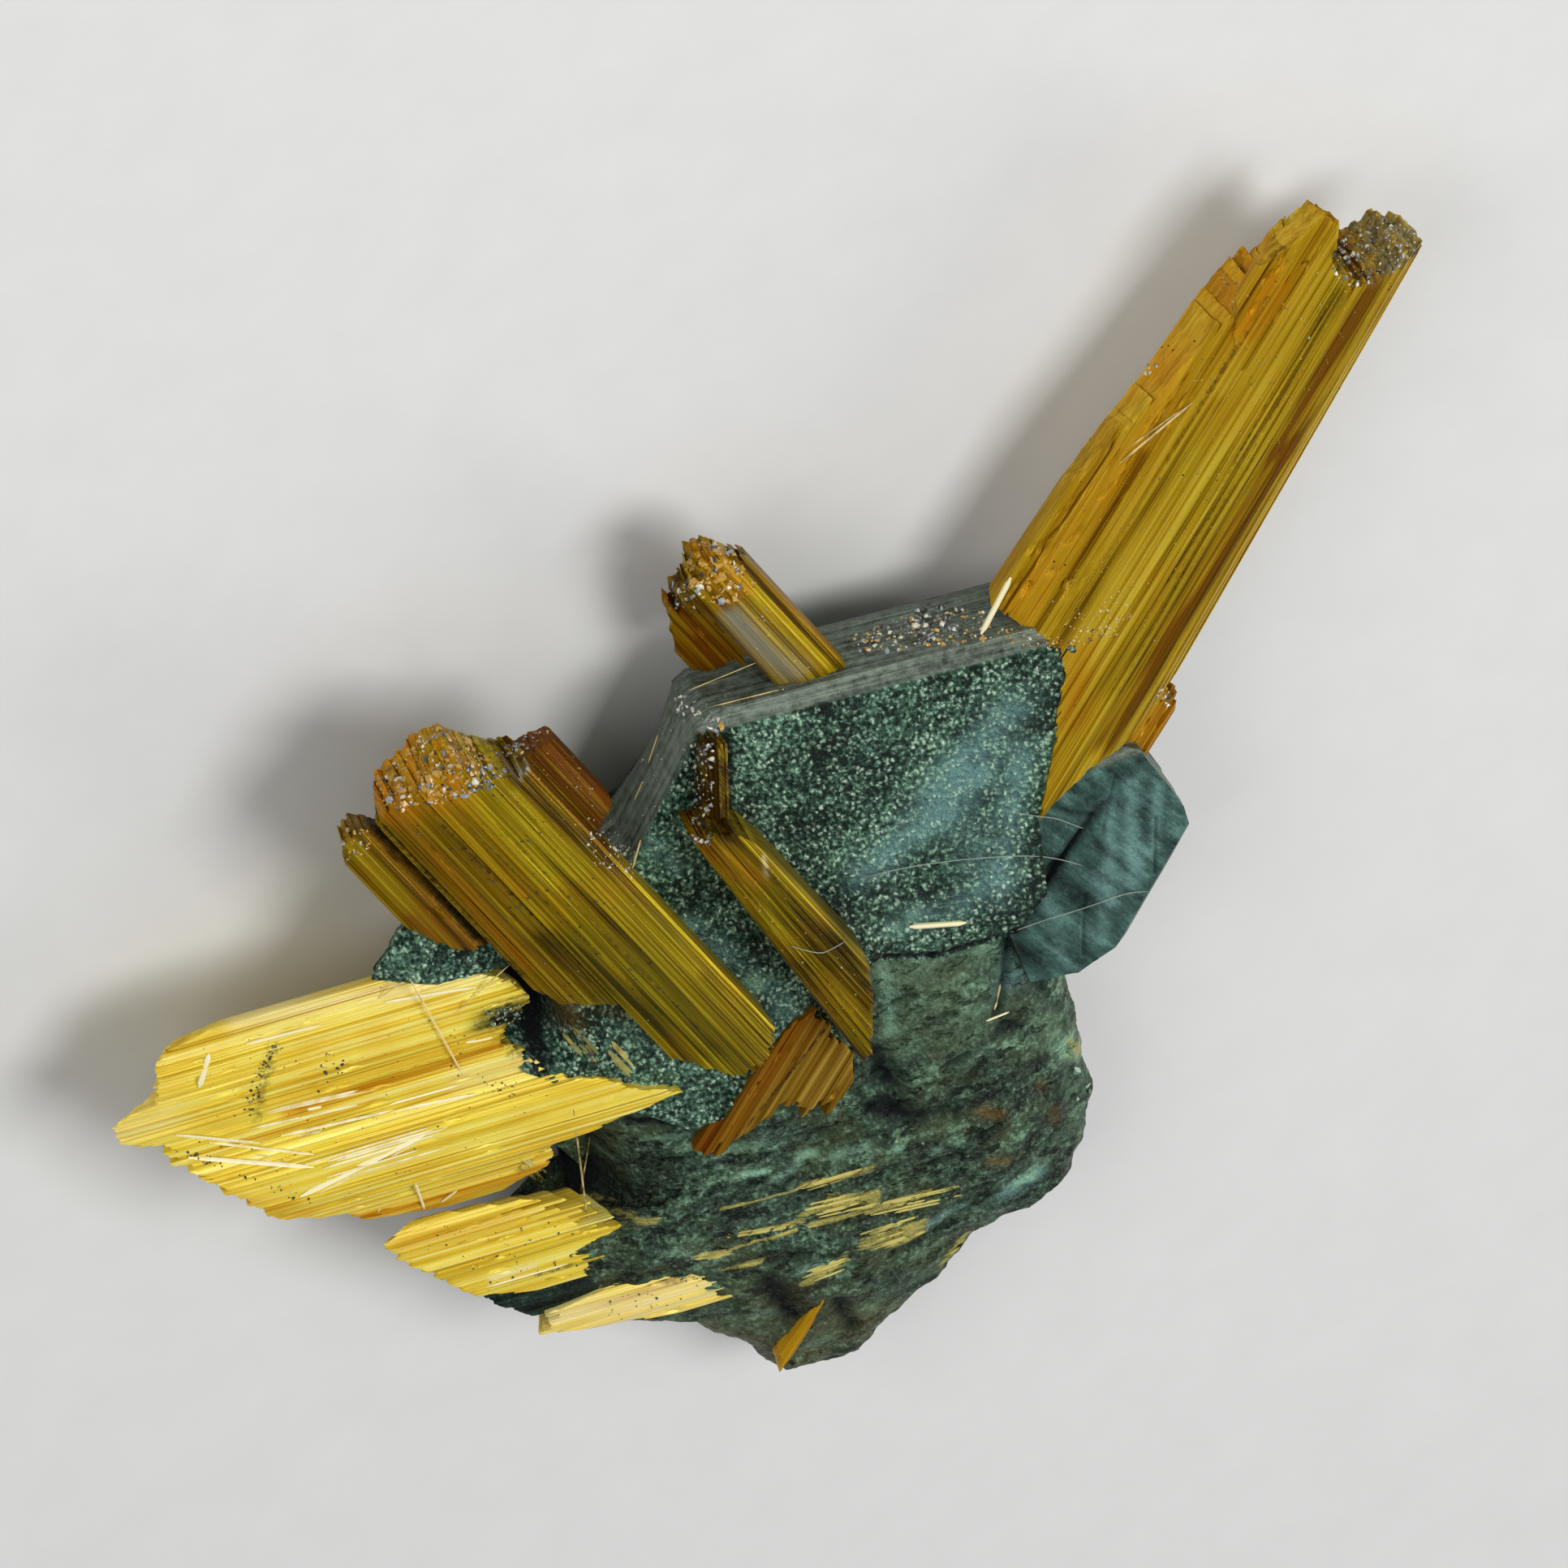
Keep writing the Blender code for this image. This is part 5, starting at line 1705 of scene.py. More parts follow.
# The soil strokes darken the mass's hollows and cracks, above all the deep gap beside the fans at x 4.9:
# painted shade, on top of the grooves they also cut. The sheen strokes are painted sheen.
MASS_STROKES = marks(straw=((2.23, 1.53, 1.09, 2.01, 0.07, 1.0), (2.35, 2.13, 1.26, 2.53, 0.1, 1.0),
    (1.9, 2.15, 1.3, 2.65, 0.11, 0.9), (2.32, 2.47, 0.51, 3.26, 0.07, 1.0), (1.5, 2.9, 0.1, 3.55, 0.05, 0.8),
    (3.3, 1.8, 2.44, 2.32, 0.05, 1.0), (1.75, 3.5, 0.95, 3.95, 0.17, 1.0), (1.4, 3.95, 1.0, 4.15, 0.1, 0.8),
    (2.94, 3.59, 2.16, 3.6, 0.1, 0.9), (0.93, 5.45, 0.39, 5.17, 0.12, 0.8), (-2.5, 2.5, -2.7, 3.5, 0.12, 0.8),
    (5.0, 0.2, 4.4, 0.5, 0.12, 0.6), (2.35, 1.45, 3.4, 1.05, 0.05, 0.7), (3.6, 2.0, 2.6, 2.45, 0.045, 0.8),
    (3.9, 2.35, 2.9, 2.8, 0.05, 0.7)),
    moss=((-0.64, -1.67, -2.27, -0.63, 0.4, 0.62), (-0.43, -0.76, -1.75, 0.34, 0.4, 0.5),
        (-0.14, -0.02, -1.16, 0.91, 0.35, 0.45), (2.6, 4.9, 1.2, 5.3, 0.4, 0.4),
        (4.6, 3.4, 3.0, 5.6, 0.4, 0.35), (-2.3, 1.2, -2.6, 3.4, 0.3, 0.4),
        (-2.24, 3.19, -1.91, 4.22, 0.15, 0.9), (1.1, 4.8, 0.65, 4.77, 0.1, 0.7)),
    pale=((-2.19, -1.15, -2.27, -0.63, 0.2, 0.5), (-0.67, -1.76, -0.28, -0.56, 0.12, 0.45),
        (2.81, 0.61, 2.51, 0.77, 0.07, 0.9), (2.47, 1.03, 2.05, 1.08, 0.08, 0.9),
        (1.98, 0.92, 1.74, 1.04, 0.1, 0.9), (1.5, 1.36, 0.98, 1.51, 0.12, 0.6),
        (2.8, -0.16, 2.09, 0.27, 0.12, 0.4), (4.07, -2.1, 3.69, -1.97, 0.08, 0.55),
        (3.84, -1.22, 3.24, -0.89, 0.07, 0.45), (4.81, -0.78, 4.43, -0.65, 0.08, 0.45),
        (0.6, 1.88, 0.58, 1.94, 0.07, 0.9), (0.13, 2.44, 0.06, 2.47, 0.08, 0.9),
        (-0.26, 2.49, -0.28, 2.62, 0.07, 0.5), (-0.72, 4.46, -0.96, 4.58, 0.14, 0.9),
        (-2.44, 2.49, -2.58, 2.5, 0.1, 0.7), (-2.35, 2.1, -2.62, 3.3, 0.16, 0.55),
        (2.9, 3.27, 2.46, 3.45, 0.1, 0.7), (3.74, 3.94, 3.23, 4.3, 0.12, 0.35),
        (3.37, 5.39, 3.09, 5.42, 0.12, 0.5)),
    sheen=((-2.27, -0.07, -3.15, -0.82, 0.14, 0.8), (-2.09, 0.21, -2.51, 0.26, 0.16, 0.9),
        (-2.76, 0.16, -3.31, -0.67, 0.1, 0.6), (-0.54, 4.53, -1.02, 4.63, 0.2, 0.9),
        (0.77, 3.99, 0.25, 4.14, 0.12, 0.6)),
    amber=((-0.8, 2.21, -1.04, 2.54, 0.12, 0.9), (3.4, 4.0, 2.4, 5.6, 0.5, 0.3),
        (4.6, 4.2, 3.4, 5.8, 0.4, 0.35), (-1.78, 3.43, -1.73, 3.73, 0.1, 0.8),
        (-1.79, 2.67, -1.83, 2.93, 0.08, 0.6), (-0.54, 3.42, -0.78, 3.74, 0.1, 0.6)),
    soil=((-1.82, 0.52, -2.93, -0.81, 0.1, 0.8), (-2.93, -0.81, -4.24, -1.56, 0.09, 0.8),
        (-2.61, 0.35, -2.61, 0.91, 0.1, 0.8), (-1.8, 0.94, -1.98, 1.22, 0.12, 0.8),
        (-0.52, -1.0, -0.84, -0.89, 0.07, 0.7), (-1.07, -0.17, -1.25, -0.07, 0.07, 0.6),
        (0.13, -0.27, 0.17, 0.58, 0.2, 0.9), (0.47, 0.97, 0.0, 1.63, 0.2, 0.9),
        (0.67, 0.35, 0.63, 0.82, 0.1, 0.7), (-0.65, 0.89, -1.07, 0.94, 0.08, 0.7),
        (3.92, -1.74, 3.36, -1.33, 0.14, 0.9), (3.87, -2.25, 3.58, -1.87, 0.06, 0.5),
        (-0.94, 2.78, -0.58, 2.78, 0.1, 0.8), (-0.07, 3.87, -0.32, 3.99, 0.08, 0.6),
        (3.37, 3.17, 3.31, 4.33, 0.25, 0.9), (2.6, 4.54, 2.64, 5.39, 0.15, 0.8),
        (5.36, -0.66, 5.17, -0.04, 0.2, 0.7), (4.95, -2.4, 4.85, 0.0, 0.45, 0.9),
        (-1.3, 1.3, -0.3, 1.75, 0.13, 0.55), (-0.2, 2.9, 0.5, 2.6, 0.06, 0.6),
        (2.2, 0.2, 1.4, 0.75, 0.07, 0.6), (0.5, 4.4, 1.5, 4.2, 0.1, 0.55), (3.2, 2.7, 2.6, 3.1, 0.08, 0.7)))

PLATE = Plate(outline=((-0.43, -9.02), (-0.1, -9.0), (1.72, -7.32), (4.35, -6.5), (4.95, -4.45), (3.2, -1.2),
    (1.6, -0.6), (0.6, -1.0), (-0.1, -2.2), (-0.64, -2.34), (-1.39, -1.66), (-2.66, -1.17), (-3.41, -1.59),
    (-3.9, -3.3), (-4.4, -3.7), (-5.4, -4.5), (-5.8, -6.6)), centre=(0.0, -5.0), cells=260,
    walls=((1.0, 2.32), (0.996, 1.7), (0.985, 1.2), (0.93, 0.9)), rings=30, seed=101,
    chamfers=((-5.8, -6.6, -0.43, -9.02, 0.28, 0.28), (-0.1, -9.0, 1.72, -7.32, 0.05, 0.05)),
    strokes=PLATE_STROKES, tucks=((0.8, -8.1, 1.3, 0.9),), hollows=((4.3, -5.2, 0.4, 0.9, 1.0),), cut=0.05)

MASS = Mass(outline=((-3.3, 0.4), (-2.95, 1.5), (-2.85, 2.5), (-2.65, 3.2), (-2.47, 4.1), (-1.95, 5.0),
    (-1.45, 5.5), (-0.8, 5.7), (0.2, 5.5), (1.2, 6.05), (2.15, 6.2), (2.75, 6.58), (3.85, 6.15), (4.2, 5.1),
    (4.7, 4.0), (6.2, 2.5), (6.9, 1.4), (7.2, 0.4), (5.2, 0.1), (4.9, -1.0), (5.4, -3.4), (3.0, -4.6),
    (0.0, -4.0), (-2.6, -2.0)), centre=(1.4, 0.4), cells=260, walls=((1.0, 1.55), (1.0, 1.25), (0.95, 0.8),
    (0.74, 0.35)), rings=30, seed=111, jag=0.09, profile=((0.0, 2.45), (0.35, 2.45), (0.62, 2.35),
    (0.84, 2.08), (0.95, 1.85), (1.0, 1.55)), hollows=((4.95, -1.2, 0.5, 1.3, 0.9),
    (4.3, -5.0, 0.4, 0.6, 0.3), (0.25, 0.6, 0.3, 0.6, 0.15)), strokes=MASS_STROKES, cut=0.12)

FOOT = Mass(outline=((-0.4, -8.2), (1.5, -6.8), (4.7, -7.0), (5.2, -1.5), (4.0, 4.4), (-0.5, 4.6),
    (-2.6, 1.2), (-5.2, -1.6), (-5.0, -6.2)), centre=(0.0, -2.2), cells=60, walls=((1.0, 1.2), (0.97, 0.8),
    (0.9, 0.35), (0.78, 0.0)), rings=30, seed=121, profile=((0.0, 1.35), (0.9, 1.3), (1.0, 1.2)))

# Its soil stroke darkens the hollow by the fan's root: painted shade
EAR = Mass(outline=((1.6, -6.9), (5.1, -8.6), (5.5, -8.35), (6.15, -7.8), (5.5, -7.1), (4.2, -6.5),
    (3.9, -5.2), (2.5, -4.5)), centre=(3.6, -6.6), cells=130, walls=((1.0, 2.3), (0.96, 2.1), (0.8, 1.75),
    (0.6, 1.4)), rings=16, seed=131, profile=((0.0, 2.5), (0.9, 2.5), (1.0, 2.38)),
    strokes=marks(soil=((4.1, -6.1, 4.4, -4.5, 0.32, 1.2),)), hollows=((4.25, -5.2, 0.4, 0.9, 1.0),),
    lumps=0.03, streaks=0.01)

# The sheen strokes are painted sheen, and the soil strokes darken the crack between this slab and the basal
# plate: painted shade in the groove they also cut
SIDE_PLATE = Plate(outline=((-3.6, -3.2), (-4.9, -3.35), (-5.5, -3.3), (-5.78, -3.05), (-5.92, -1.5),
    (-5.84, -1.05), (-5.3, -0.5), (-4.6, 0.1), (-4.15, 0.5), (-3.2, 0.6), (-2.5, 0.2), (-2.6, -1.0),
    (-3.0, -2.0)), centre=(-4.4, -1.4), cells=150, walls=((1.0, 2.3), (1.0, 1.9), (1.0, 1.5), (0.95, 1.2)),
    rings=16, seed=141, jag=0.02, level=2.4, chamfers=((-5.85, -3.05, -4.9, -3.35, 0.1, 0.1),
    (-4.6, 0.1, -5.92, -1.0, 0.12, 0.1)), strokes=marks(sheen=((-5.4, -2.6, -4.6, -0.5, 0.16, 1.0),
    (-5.0, -2.6, -4.2, -0.4, 0.12, 0.8), (-5.7, -2.2, -5.2, -1.0, 0.1, 0.9),
    (-4.3, -1.2, -3.8, 0.2, 0.14, 0.7), (-3.4, -1.6, -3.1, 0.2, 0.12, 0.4)),
    soil=((-4.85, -2.5, -3.71, -1.81, 0.12, 0.75), (-3.71, -1.81, -2.76, -1.06, 0.15, 0.85),
    (-2.76, -1.06, -2.5, -0.3, 0.12, 0.6), (-4.35, -2.2, -3.1, -1.3, 0.035, 0.9),
    (-5.2, -2.9, -4.6, -1.9, 0.03, 0.35), (-4.1, -3.1, -4.6, -2.4, 0.07, 0.5),
    (-5.45, -1.6, -5.0, -0.5, 0.03, 0.4), (-3.9, -0.9, -3.4, 0.3, 0.03, 0.4))), grain=0.004, cut=0.07)

LAMELLA = Band(((5.05, -2.0, 1.5, 1.75, 2.06), (5.3, -2.2, 1.3, 1.6, 2.1), (5.6, -2.2, 0.95, 1.6, 2.1),
    (5.98, -2.2, 0.55, 1.7, 2.06)), laths=12, relief=0.01, ragged=0.04, undercut=(0.1, 0.2), seed=77)


FACE = HematiteFinish("hematite_face")
ROUGH = HematiteFinish("hematite_rough", deep=(0.003, 0.008, 0.004), middle=(0.046, 0.088, 0.052),
    light=(0.22, 0.38, 0.24), heading=FAN_HEADING, pebbles=0.35, glints=0.12, streaks=(1.1, 2.3, 1.6),
    contrast=0.7, mottle=0.42, roughness=0.5, tinged=0.55, pits=0.85)
BLUE = HematiteFinish("hematite_blue_plate", heading=-75.0, deep=(0.006, 0.02, 0.016),
    middle=(0.05, 0.115, 0.095), light=(0.16, 0.32, 0.27), sheen=(0.19, 0.36, 0.33), pebbles=0.12, glints=0.0,
    streaks=(0.45, 3.2, 1.0), contrast=0.9, mottle=0.15, roughness=0.42)
TEAL = HematiteFinish("hematite_lamella", heading=FAN_HEADING, deep=(0.002, 0.006, 0.004),
    middle=(0.01, 0.028, 0.018), light=(0.06, 0.13, 0.08), pebbles=0.3, glints=0.0, streaks=(0.7, 6.0, 3.0),
    contrast=0.9)


@dataclass(frozen=True)
class Hematite:
    """The matrix: its mounds, each with its name, finish, slot and CAD node, and a thin lamella."""

    mounds: tuple[tuple[str, Mound, HematiteFinish, Slot, str], ...]
    lamella: Band
    crystal: str = "hematite_crystal"

    def build(self) -> list[Object]:
        """Build the pieces and dress them; mounds of one finish share its material.

        Returns:
            The pieces.
        """
        dressed: dict[str, Material] = {}
        pieces = []
        for name, mound, finish, slot, node in self.mounds:
            if finish.name not in dressed:
                dressed[finish.name] = finish.material()
            pieces.append(make_piece(name, mound.shell(), dressed[finish.name], node))
        shell = self.lamella.shell(FAN_AXIS, ())
        return pieces + [
            make_piece("hematite_lamella", shell, TEAL.material(), self.crystal)
        ]


HEMATITE = Hematite(
    (
        ("hematite_basal_plate", PLATE, FACE, Slot.HEMATITE, Hematite.crystal),
        ("hematite_rough_mass", MASS, ROUGH, Slot.HEMATITE, Hematite.crystal),
        ("hematite_under_mass", FOOT, ROUGH, Slot.HEMATITE, Hematite.crystal),
        ("hematite_left_ear", EAR, FACE, Slot.HEMATITE, Hematite.crystal),
        ("hematite_side_slab", SIDE_PLATE, BLUE, Slot.HEMATITE_BLUE, "hematite_side_plate"),
    ),
    LAMELLA,
)


# ---- small things on the crystals


def slivers(*rows: tuple[float, ...]) -> tuple[Sliver, ...]:
    """Write slivers as (x0, y0, x1, y1, radius, tone), and more fields where they differ."""
    return tuple(Sliver(row[:2], row[2:4], *row[4:]) for row in rows)


GREY = ((Layer.SHEEN, 0.3), (Layer.PALE, 0.2), (Layer.SOIL, 0.22), (Layer.AMBER, 0.05))
ORANGE = ((Layer.AMBER, 0.72), (Layer.PALE, 0.1), (Layer.SOIL, 0.1), (Layer.SHEEN, 0.06))
WHITE = ((Layer.PALE, 0.6), (Layer.SHEEN, 0.2))
MIXED = ((Layer.PALE, 0.26), (Layer.AMBER, 0.28), (Layer.SOIL, 0.25), (Layer.SHEEN, 0.06))
BLACK = ((Layer.SOIL, 1.0),)
DARK = ((Layer.SOIL, 0.45), (Layer.PALE, 0.2), (Layer.SHEEN, 0.2))
GOLDEN = ((Layer.AMBER, 0.7), (Layer.PALE, 0.25))
MOSSY = ((Layer.MOSS, 0.75), (Layer.SOIL, 0.2))

CRUMBS = (
    Litter(((1636, 318), (1651, 349), (1674, 356), (1704, 345), (1746, 312), (1750, 295), (1739, 280),
        (1720, 264), (1697, 264), (1681, 276), (1655, 291)), 255, (0.0186, 0.0558), GREY),
    Litter(((1500, 340), (1530, 330), (1540, 372), (1505, 380)), 23, (0.0124, 0.0372), GOLDEN),
    Litter(((1404, 455), (1420, 443), (1427, 450), (1410, 472)), 10, (0.0372, 0.062), WHITE),
    Litter(((1310, 770), (1345, 745), (1390, 735), (1396, 760), (1370, 790)), 78, (0.0124, 0.0372), GOLDEN),
    Litter(((1310, 790), (1340, 772), (1378, 768), (1380, 784), (1330, 796)), 51, (0.0124, 0.031), MIXED),
    Litter(((845, 690), (870, 660), (903, 680), (934, 720), (915, 745), (870, 740), (850, 720)), 153,
        (0.0248, 0.0806), ORANGE),
    Litter(((822, 718), (858, 712), (858, 750), (830, 750)), 51, (0.0186, 0.0558), DARK),
    Litter(((461, 966), (497, 928), (527, 898), (554, 896), (581, 912), (604, 935), (590, 975), (540, 990),
        (480, 1000)), 357, (0.0248, 0.0806), ORANGE),
    Litter(((558, 980), (604, 935), (626, 948), (610, 970), (566, 985)), 57, (0.031, 0.0682), GREY),
    Litter(((604, 928), (667, 898), (678, 902), (650, 925), (625, 940)), 51, (0.0248, 0.0496), GREY),
    Litter(((717, 1027), (760, 1022), (785, 1050), (780, 1082), (735, 1070)), 74, (0.0155, 0.0558), WHITE),
    Litter(((411, 1025), (450, 1014), (462, 1045), (425, 1062)), 37, (0.0186, 0.0496), ORANGE),
    Litter(((852, 914), (880, 914), (880, 990), (875, 1041), (850, 1041), (858, 980)), 153, (0.0186, 0.0558),
        DARK),
    Litter(((1045, 785), (1100, 762), (1170, 750), (1222, 752), (1222, 790), (1150, 795), (1060, 808)), 289,
        (0.0155, 0.062), MIXED),
    Litter(((1062, 782), (1100, 765), (1180, 752), (1180, 780), (1075, 800)), 26, (0.02, 0.06), WHITE),
    Litter(((1110, 770), (1139, 742), (1160, 745), (1180, 770), (1140, 790)), 44, (0.0496, 0.0992), DARK),
    Litter(((827, 860), (850, 855), (867, 880), (845, 890)), 20, (0.031, 0.0744), WHITE),
    Litter(((870, 885), (890, 880), (892, 905), (872, 912)), 20, (0.0372, 0.0682), GREY),
    Litter(((1425, 843), (1443, 850), (1443, 872), (1428, 868)), 20, (0.0248, 0.0558), DARK),
    Litter(((1215, 775), (1262, 772), (1312, 785), (1300, 806), (1230, 790)), 68, (0.0124, 0.0372), GOLDEN),
    Litter(((1095, 1396), (1150, 1392), (1154, 1408), (1098, 1410)), 7, (0.04, 0.07), MOSSY, -0.2),
    Litter(((1312, 1290), (1345, 1300), (1346, 1345), (1318, 1360)), 9, (0.05, 0.1), MOSSY, -0.2),
    Litter(((705, 1262), (735, 1270), (780, 1330), (700, 1310)), 26, (0.02, 0.06), MOSSY, -0.2),
    Litter(((596, 1246), (640, 1236), (648, 1256), (605, 1266)), 60, (0.0186, 0.045), MOSSY))

DUST = (
    Litter(((1240, 740), (1600, 290), (1700, 345), (1420, 800)), 620, (0.007, 0.018),
        GOLDEN + ((Layer.PALE, 0.3),), -0.3),
    Litter(((880, 740), (950, 740), (1015, 835), (960, 835)), 40, (0.008, 0.02), WHITE, -0.3),
    Litter(((770, 960), (830, 870), (990, 840), (870, 900), (800, 1060)), 60, (0.008, 0.025), WHITE, -0.3),
    Litter(((480, 990), (640, 960), (900, 1290), (700, 1230)), 130, (0.01, 0.03), BLACK, -0.3),
    Litter(((640, 930), (700, 920), (790, 1060), (730, 1060)), 50, (0.01, 0.025), GOLDEN, -0.3),
    Litter(((328, 1284), (342, 1288), (310, 1375), (298, 1370)), 60, (0.012, 0.035), BLACK, -0.2),
    Litter(((395, 1298), (428, 1298), (425, 1322), (395, 1325)), 18, (0.012, 0.035), BLACK, -0.2),
    Litter(((595, 1332), (645, 1332), (645, 1348), (600, 1345)), 14, (0.012, 0.03), BLACK, -0.2),
    Litter(((220, 1290), (640, 1220), (760, 1340), (440, 1480), (240, 1430)), 110, (0.008, 0.022), BLACK,
        -0.3),
    Litter(((210, 1415), (265, 1440), (390, 1490), (380, 1475), (250, 1420)), 40, (0.012, 0.04), BLACK, -0.2),
    Litter(((490, 1520), (660, 1490), (840, 1545), (610, 1595)), 40, (0.01, 0.028), BLACK, -0.3),
    Litter(((700, 1620), (860, 1560), (915, 1590), (760, 1620)), 24, (0.01, 0.028), BLACK, -0.3),
    Litter(((900, 1100), (940, 1060), (1060, 1190), (1060, 1290)), 40, (0.008, 0.02), GOLDEN, -0.3))

STRAWS = slivers(
    (1247, 712, 1210, 782, 0.055, 1.3), (1120, 1140, 1190, 1135, 0.045, 1.3),
    (1215, 1257, 1243, 1246, 0.018, 1.0), (780, 1115, 805, 1095, 0.014, 0.6),
    (245, 1338, 257, 1297, 0.045, 1.2), (582, 1349, 466, 1492, 0.036, 1.1), (587, 1347, 445, 1376, 0.03, 1.2),
    (566, 1336, 480, 1360, 0.024, 0.9), (512, 1457, 523, 1488, 0.022, 1.2), (563, 1466, 544, 1480, 0.02, 1.2),
    (370, 1474, 524, 1397, 0.05, 0.9, 0.4), (395, 1470, 553, 1388, 0.04, 0.7, 0.4),
    (474, 1234, 587, 1215, 0.034, 0.9), (303, 1286, 395, 1263, 0.026, 0.9),
    (216, 1397, 320, 1407, 0.04, 0.9, 0.4), (232, 1426, 387, 1438, 0.042, 0.9, 0.4),
    (574, 1284, 607, 1278, 0.022, 1.2), (600, 1585, 700, 1556, 0.026, 1.2),
    (300, 1400, 470, 1362, 0.022, 0.3, 0.5, 7, 26, 0.5), (250, 1420, 420, 1440, 0.022, 0.3, 0.5, 5, 14, 0.5),
    (360, 1460, 560, 1400, 0.022, 0.3, 0.5, 6, 22, 0.5),
)

NEEDLES = slivers(
    (1232, 1212, 1225, 1243, 0.03, 0.6), (505, 1205, 572, 1326, 0.015, 0.6),
    (578, 1363, 530, 1488, 0.014, 0.5), (562, 1247, 628, 1188, 0.013, 0.5),
    (466, 1230, 503, 1205, 0.012, 0.6), (707, 1367, 724, 1501, 0.016, 0.0),
    (728, 1400, 716, 1470, 0.014, 0.0), (1470, 495, 1380, 570, 0.016, 0.6),
    (1455, 505, 1395, 548, 0.012, 0.5), (790, 1035, 780, 1070, 0.014, 0.9), (885, 735, 915, 700, 0.01, 0.5),
    (850, 850, 935, 815, 0.009, 0.4), (880, 870, 960, 850, 0.009, 0.4), (800, 940, 812, 905, 0.012, 0.7),
    (783, 985, 792, 965, 0.012, 0.7),
)

INLAYS = slivers(
    *((*row, 0.5, 0.0, True) for row in (
        (984, 1466, 1075, 1439, 0.022, 0.3, 0.4, 3, 4), (869, 1526, 992, 1506, 0.026, 0.5, 0.4, 4, 3),
        (992, 1494, 1090, 1471, 0.022, 0.4, 0.4, 8, 10), (1055, 1498, 1186, 1469, 0.022, 0.5, 0.4, 8, 9),
        (1060, 1534, 1142, 1507, 0.022, 0.3, 0.4, 9, 14), (984, 1578, 1048, 1553, 0.022, 0.5, 0.4, 5, 8),
        (698, 1264, 738, 1310, 0.026, -0.3, 0.4, 7, 9), (746, 1284, 784, 1322, 0.026, -0.4, 0.4, 7, 8),
        (640, 1425, 680, 1460, 0.026, 0.0, 0.4, 7, 8), (850, 1548, 905, 1540, 0.026, 0.2, 0.4, 7, 6)
    ))
)

HAIRS = (Fibre(((1060, 1082), (1110, 1066), (1180, 1054), (1240, 1050), (1290, 1051), (1335, 1066))),
    Fibre(((1245, 1148), (1290, 1128), (1340, 1112), (1390, 1096), (1420, 1098))), Fibre(((975, 1165),
    (1010, 1170), (1040, 1160))), Fibre(((1250, 1000), (1300, 1003), (1335, 1020))))


@dataclass(frozen=True)
class Trimmings:
    """The small things on the crystals: crumbs and dust, needles, inlays and fibres."""

    crumbs: tuple[Litter, ...]
    dust: tuple[Litter, ...]
    straws: tuple[Sliver, ...]
    needles: tuple[Sliver, ...]
    inlays: tuple[Sliver, ...]
    hairs: tuple[Fibre, ...]
    grit: CrumbFinish = CrumbFinish("crumbs_of_crystal")
    cream: StrawFinish = StrawFinish("cream_needles", (0.92, 0.84, 0.50), (0.66, 0.48, 0.10))
    tan: StrawFinish = StrawFinish("tan_needles", (0.80, 0.62, 0.24), (0.12, 0.085, 0.012))
    inlaid: StrawFinish = StrawFinish("inlaid_rutile", (0.60, 0.51, 0.13), (0.20, 0.18, 0.04), 0.5)
    lint: StrawFinish = StrawFinish("lint", (0.30, 0.36, 0.30), (0.16, 0.21, 0.18), 0.6)

    def scatter(self, name: str, patches: tuple[Litter, ...], carriers: Carriers, seed: int) -> Object:
        """Set crumbs down on the crystals.

        Args:
            name: Name of the piece.
            patches: Where they lie.
            carriers: The crystals.
            seed: Start of the random series.

        Returns:
            One piece with all the crumbs.
        """
        source = np.random.default_rng(seed)
        shells = []
        for patch in patches:
            _, places, normals = carriers.meet_all(patch.spots(source))
            small, large = patch.size
            sizes = small + (large - small) * source.uniform(0.0, 1.0, len(places)) ** 2
            places = places - normals * (sizes * patch.sink)[:, None]
            pick = source.uniform(0.0, 1.0, len(places))
            paint = {}
            reached = 0.0
            for layer, chance in patch.kinds:
                paint[layer] = ((pick >= reached) & (pick < reached + chance)).astype(float)
                reached += chance
            shells.append(crumb_shell(places, sizes, paint, source))
        return make_piece(name, join_shells(shells), self.grit.material(), smooth=False)

    def lay(
        self, name: str, rods: tuple[Sliver, ...], finish: StrawFinish, carriers: Carriers, seed: int
    ) -> Object:
        """Lay splinters down on the crystals.

        Args:
            name: Name of the piece.
            rods: The splinters.
            finish: Their finish.
            carriers: The crystals.
            seed: Start of the random series.

        Returns:
            One piece with all the splinters.
        """
        source = np.random.default_rng(seed)
        shells = [rod.shell(carriers, source) for rod in rods]
        shell = join_shells([shell for shell in shells if shell is not None])
        return make_piece(name, shell, finish.material())

    def build(self, carriers: Carriers) -> list[Object]:
        """Build and dress the small things.

        Args:
            carriers: The crystals.

        Returns:
            The pieces.
        """
        hairs = [shell for shell in (fibre.shell(carriers) for fibre in self.hairs) if shell is not None]
        return [
            self.scatter("crystal_crumbs", self.crumbs, carriers, 201),
            self.scatter("dust_and_specks", self.dust, carriers, 202),
            self.lay("cream_needles", self.straws, self.cream, carriers, 203),
            self.lay("tan_needles", self.needles, self.tan, carriers, 204),
            self.lay("rutile_inlays", self.inlays, self.inlaid, carriers, 205),
            make_piece("lint_fibres", join_shells(hairs), self.lint.material()),
        ]


# ---- studio


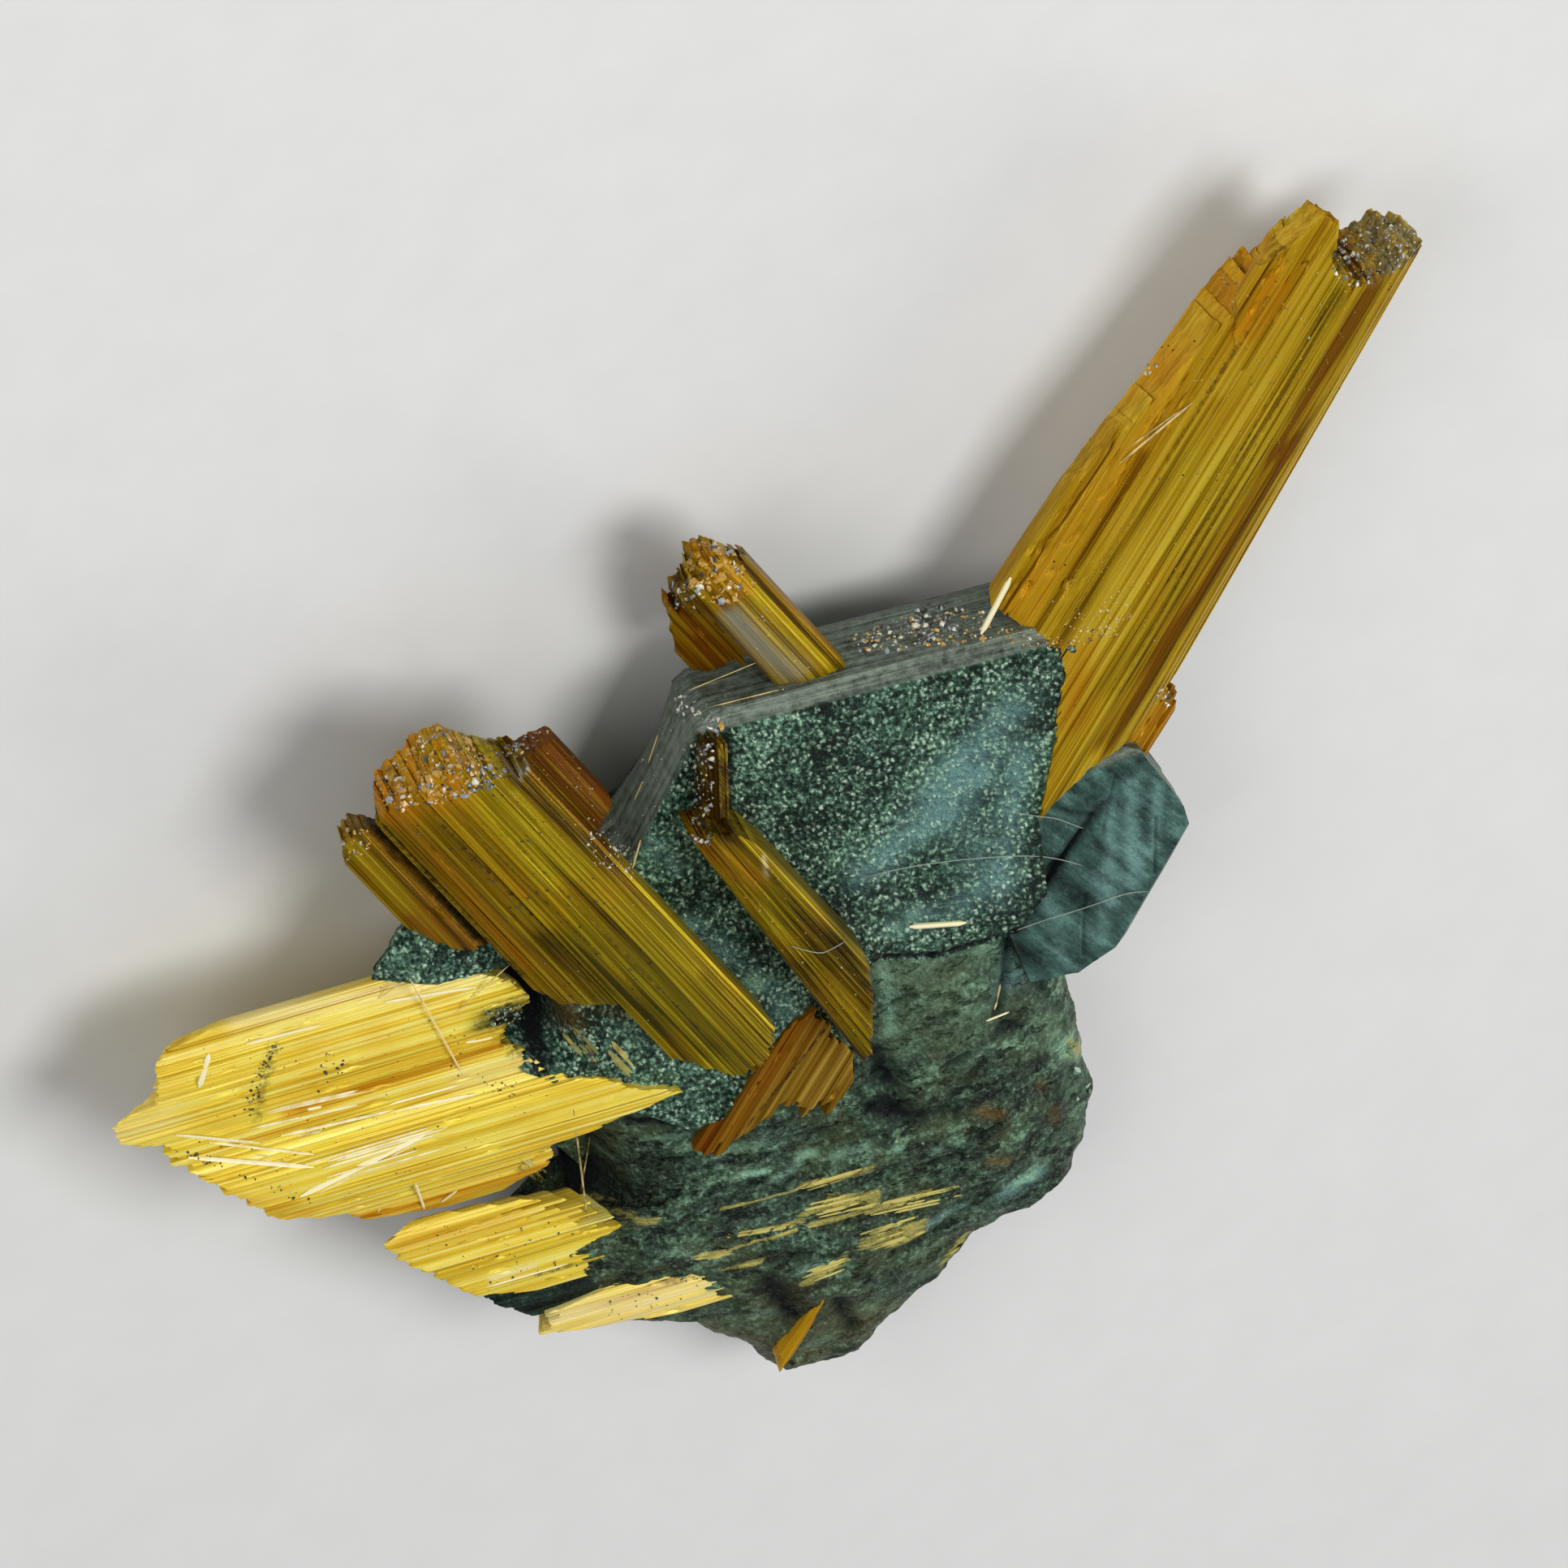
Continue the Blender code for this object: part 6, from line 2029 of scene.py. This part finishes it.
@dataclass(frozen=True)
class Studio:
    """Pale floor, pale surroundings and soft lights."""

    floor_half: float = 900.0
    world: Triple = (0.80, 0.81, 0.82)
    world_strength: float = 0.35

    def floor(self) -> None:
        """Lay a pale floor with a faint mottle at z = 0."""
        side = 24
        grid = np.linspace(-self.floor_half, self.floor_half, side + 1)
        x, y = np.meshgrid(grid, grid)
        points = np.stack((x, y, np.zeros_like(x)), -1).reshape(-1, 3)
        index = np.arange((side + 1) ** 2).reshape(side + 1, side + 1)
        mesh = bpy.data.meshes.new("floor")
        mesh.from_pydata((points * MM).tolist(), [], cells_of(index).tolist())
        item = bpy.data.objects.new("floor", mesh)
        bpy.context.scene.collection.objects.link(item)
        graph, material, shader, place = new_material("floor_paper")
        grain = graph.noise(place, 0.8, 4.0, 0.6)
        colour = graph.ramp(grain, ((0.70, 0.70, 0.69), (0.76, 0.76, 0.75)))
        graph.feed(shader, base_color=colour, roughness=0.85)
        shader.inputs["Specular IOR Level"].default_value = 0.2
        mesh.materials.append(material)

    def light(self, name: str, spot: Triple, size: float, power: float) -> None:
        """Hang a square soft light that faces the specimen.

        Args:
            name: Its name.
            spot: Its place.
            size: Its side.
            power: Its power in watts.
        """
        data = bpy.data.lights.new(name, "AREA")
        data.shape = "SQUARE"
        data.size = size * MM
        data.energy = power
        item = bpy.data.objects.new(name, data)
        item.location = Vector(spot) * MM
        item.rotation_mode = "QUATERNION"
        item.rotation_quaternion = Vector(spot).to_track_quat("Z", "Y")
        item.visible_camera = False
        bpy.context.scene.collection.objects.link(item)

    def build(self) -> None:
        """Set up the floor, the surroundings, the lights and the way colours are shown."""
        self.floor()
        scene = bpy.context.scene
        scene.world = scene.world or bpy.data.worlds.new("surroundings")
        scene.world.use_nodes = True
        tree = scene.world.node_tree
        tree.nodes.clear()
        shade = tree.nodes.new("ShaderNodeBackground")
        shade.inputs["Color"].default_value = (*self.world, 1.0)
        shade.inputs["Strength"].default_value = self.world_strength
        result = tree.nodes.new("ShaderNodeOutputWorld")
        tree.links.new(shade.outputs[0], result.inputs[0])
        self.light("key_light", (-60.0, -40.0, 130.0), 70.0, 0.12)
        self.light("front_light", (60.0, -120.0, 90.0), 80.0, 0.07)
        self.light("rim_light", (-90.0, 90.0, 60.0), 60.0, 0.05)
        scene.view_settings.view_transform = "Standard"


def main() -> None:
    """Build the specimen on its stand-ins, then the studio and the camera."""
    logging.basicConfig(level=logging.INFO, format="%(name)s: %(message)s")
    sight = Sight()
    pieces = HEMATITE.build()
    pieces += [crystal.build() for crystal in RUTILES]
    trimmings = Trimmings(CRUMBS, DUST, STRAWS, NEEDLES, INLAYS, HAIRS)
    pieces += trimmings.build(Carriers(sight, pieces))
    LOG.info("%d pieces", len(pieces))
    Studio().build()
    sight.camera()


if __name__ == "__main__":
    main()
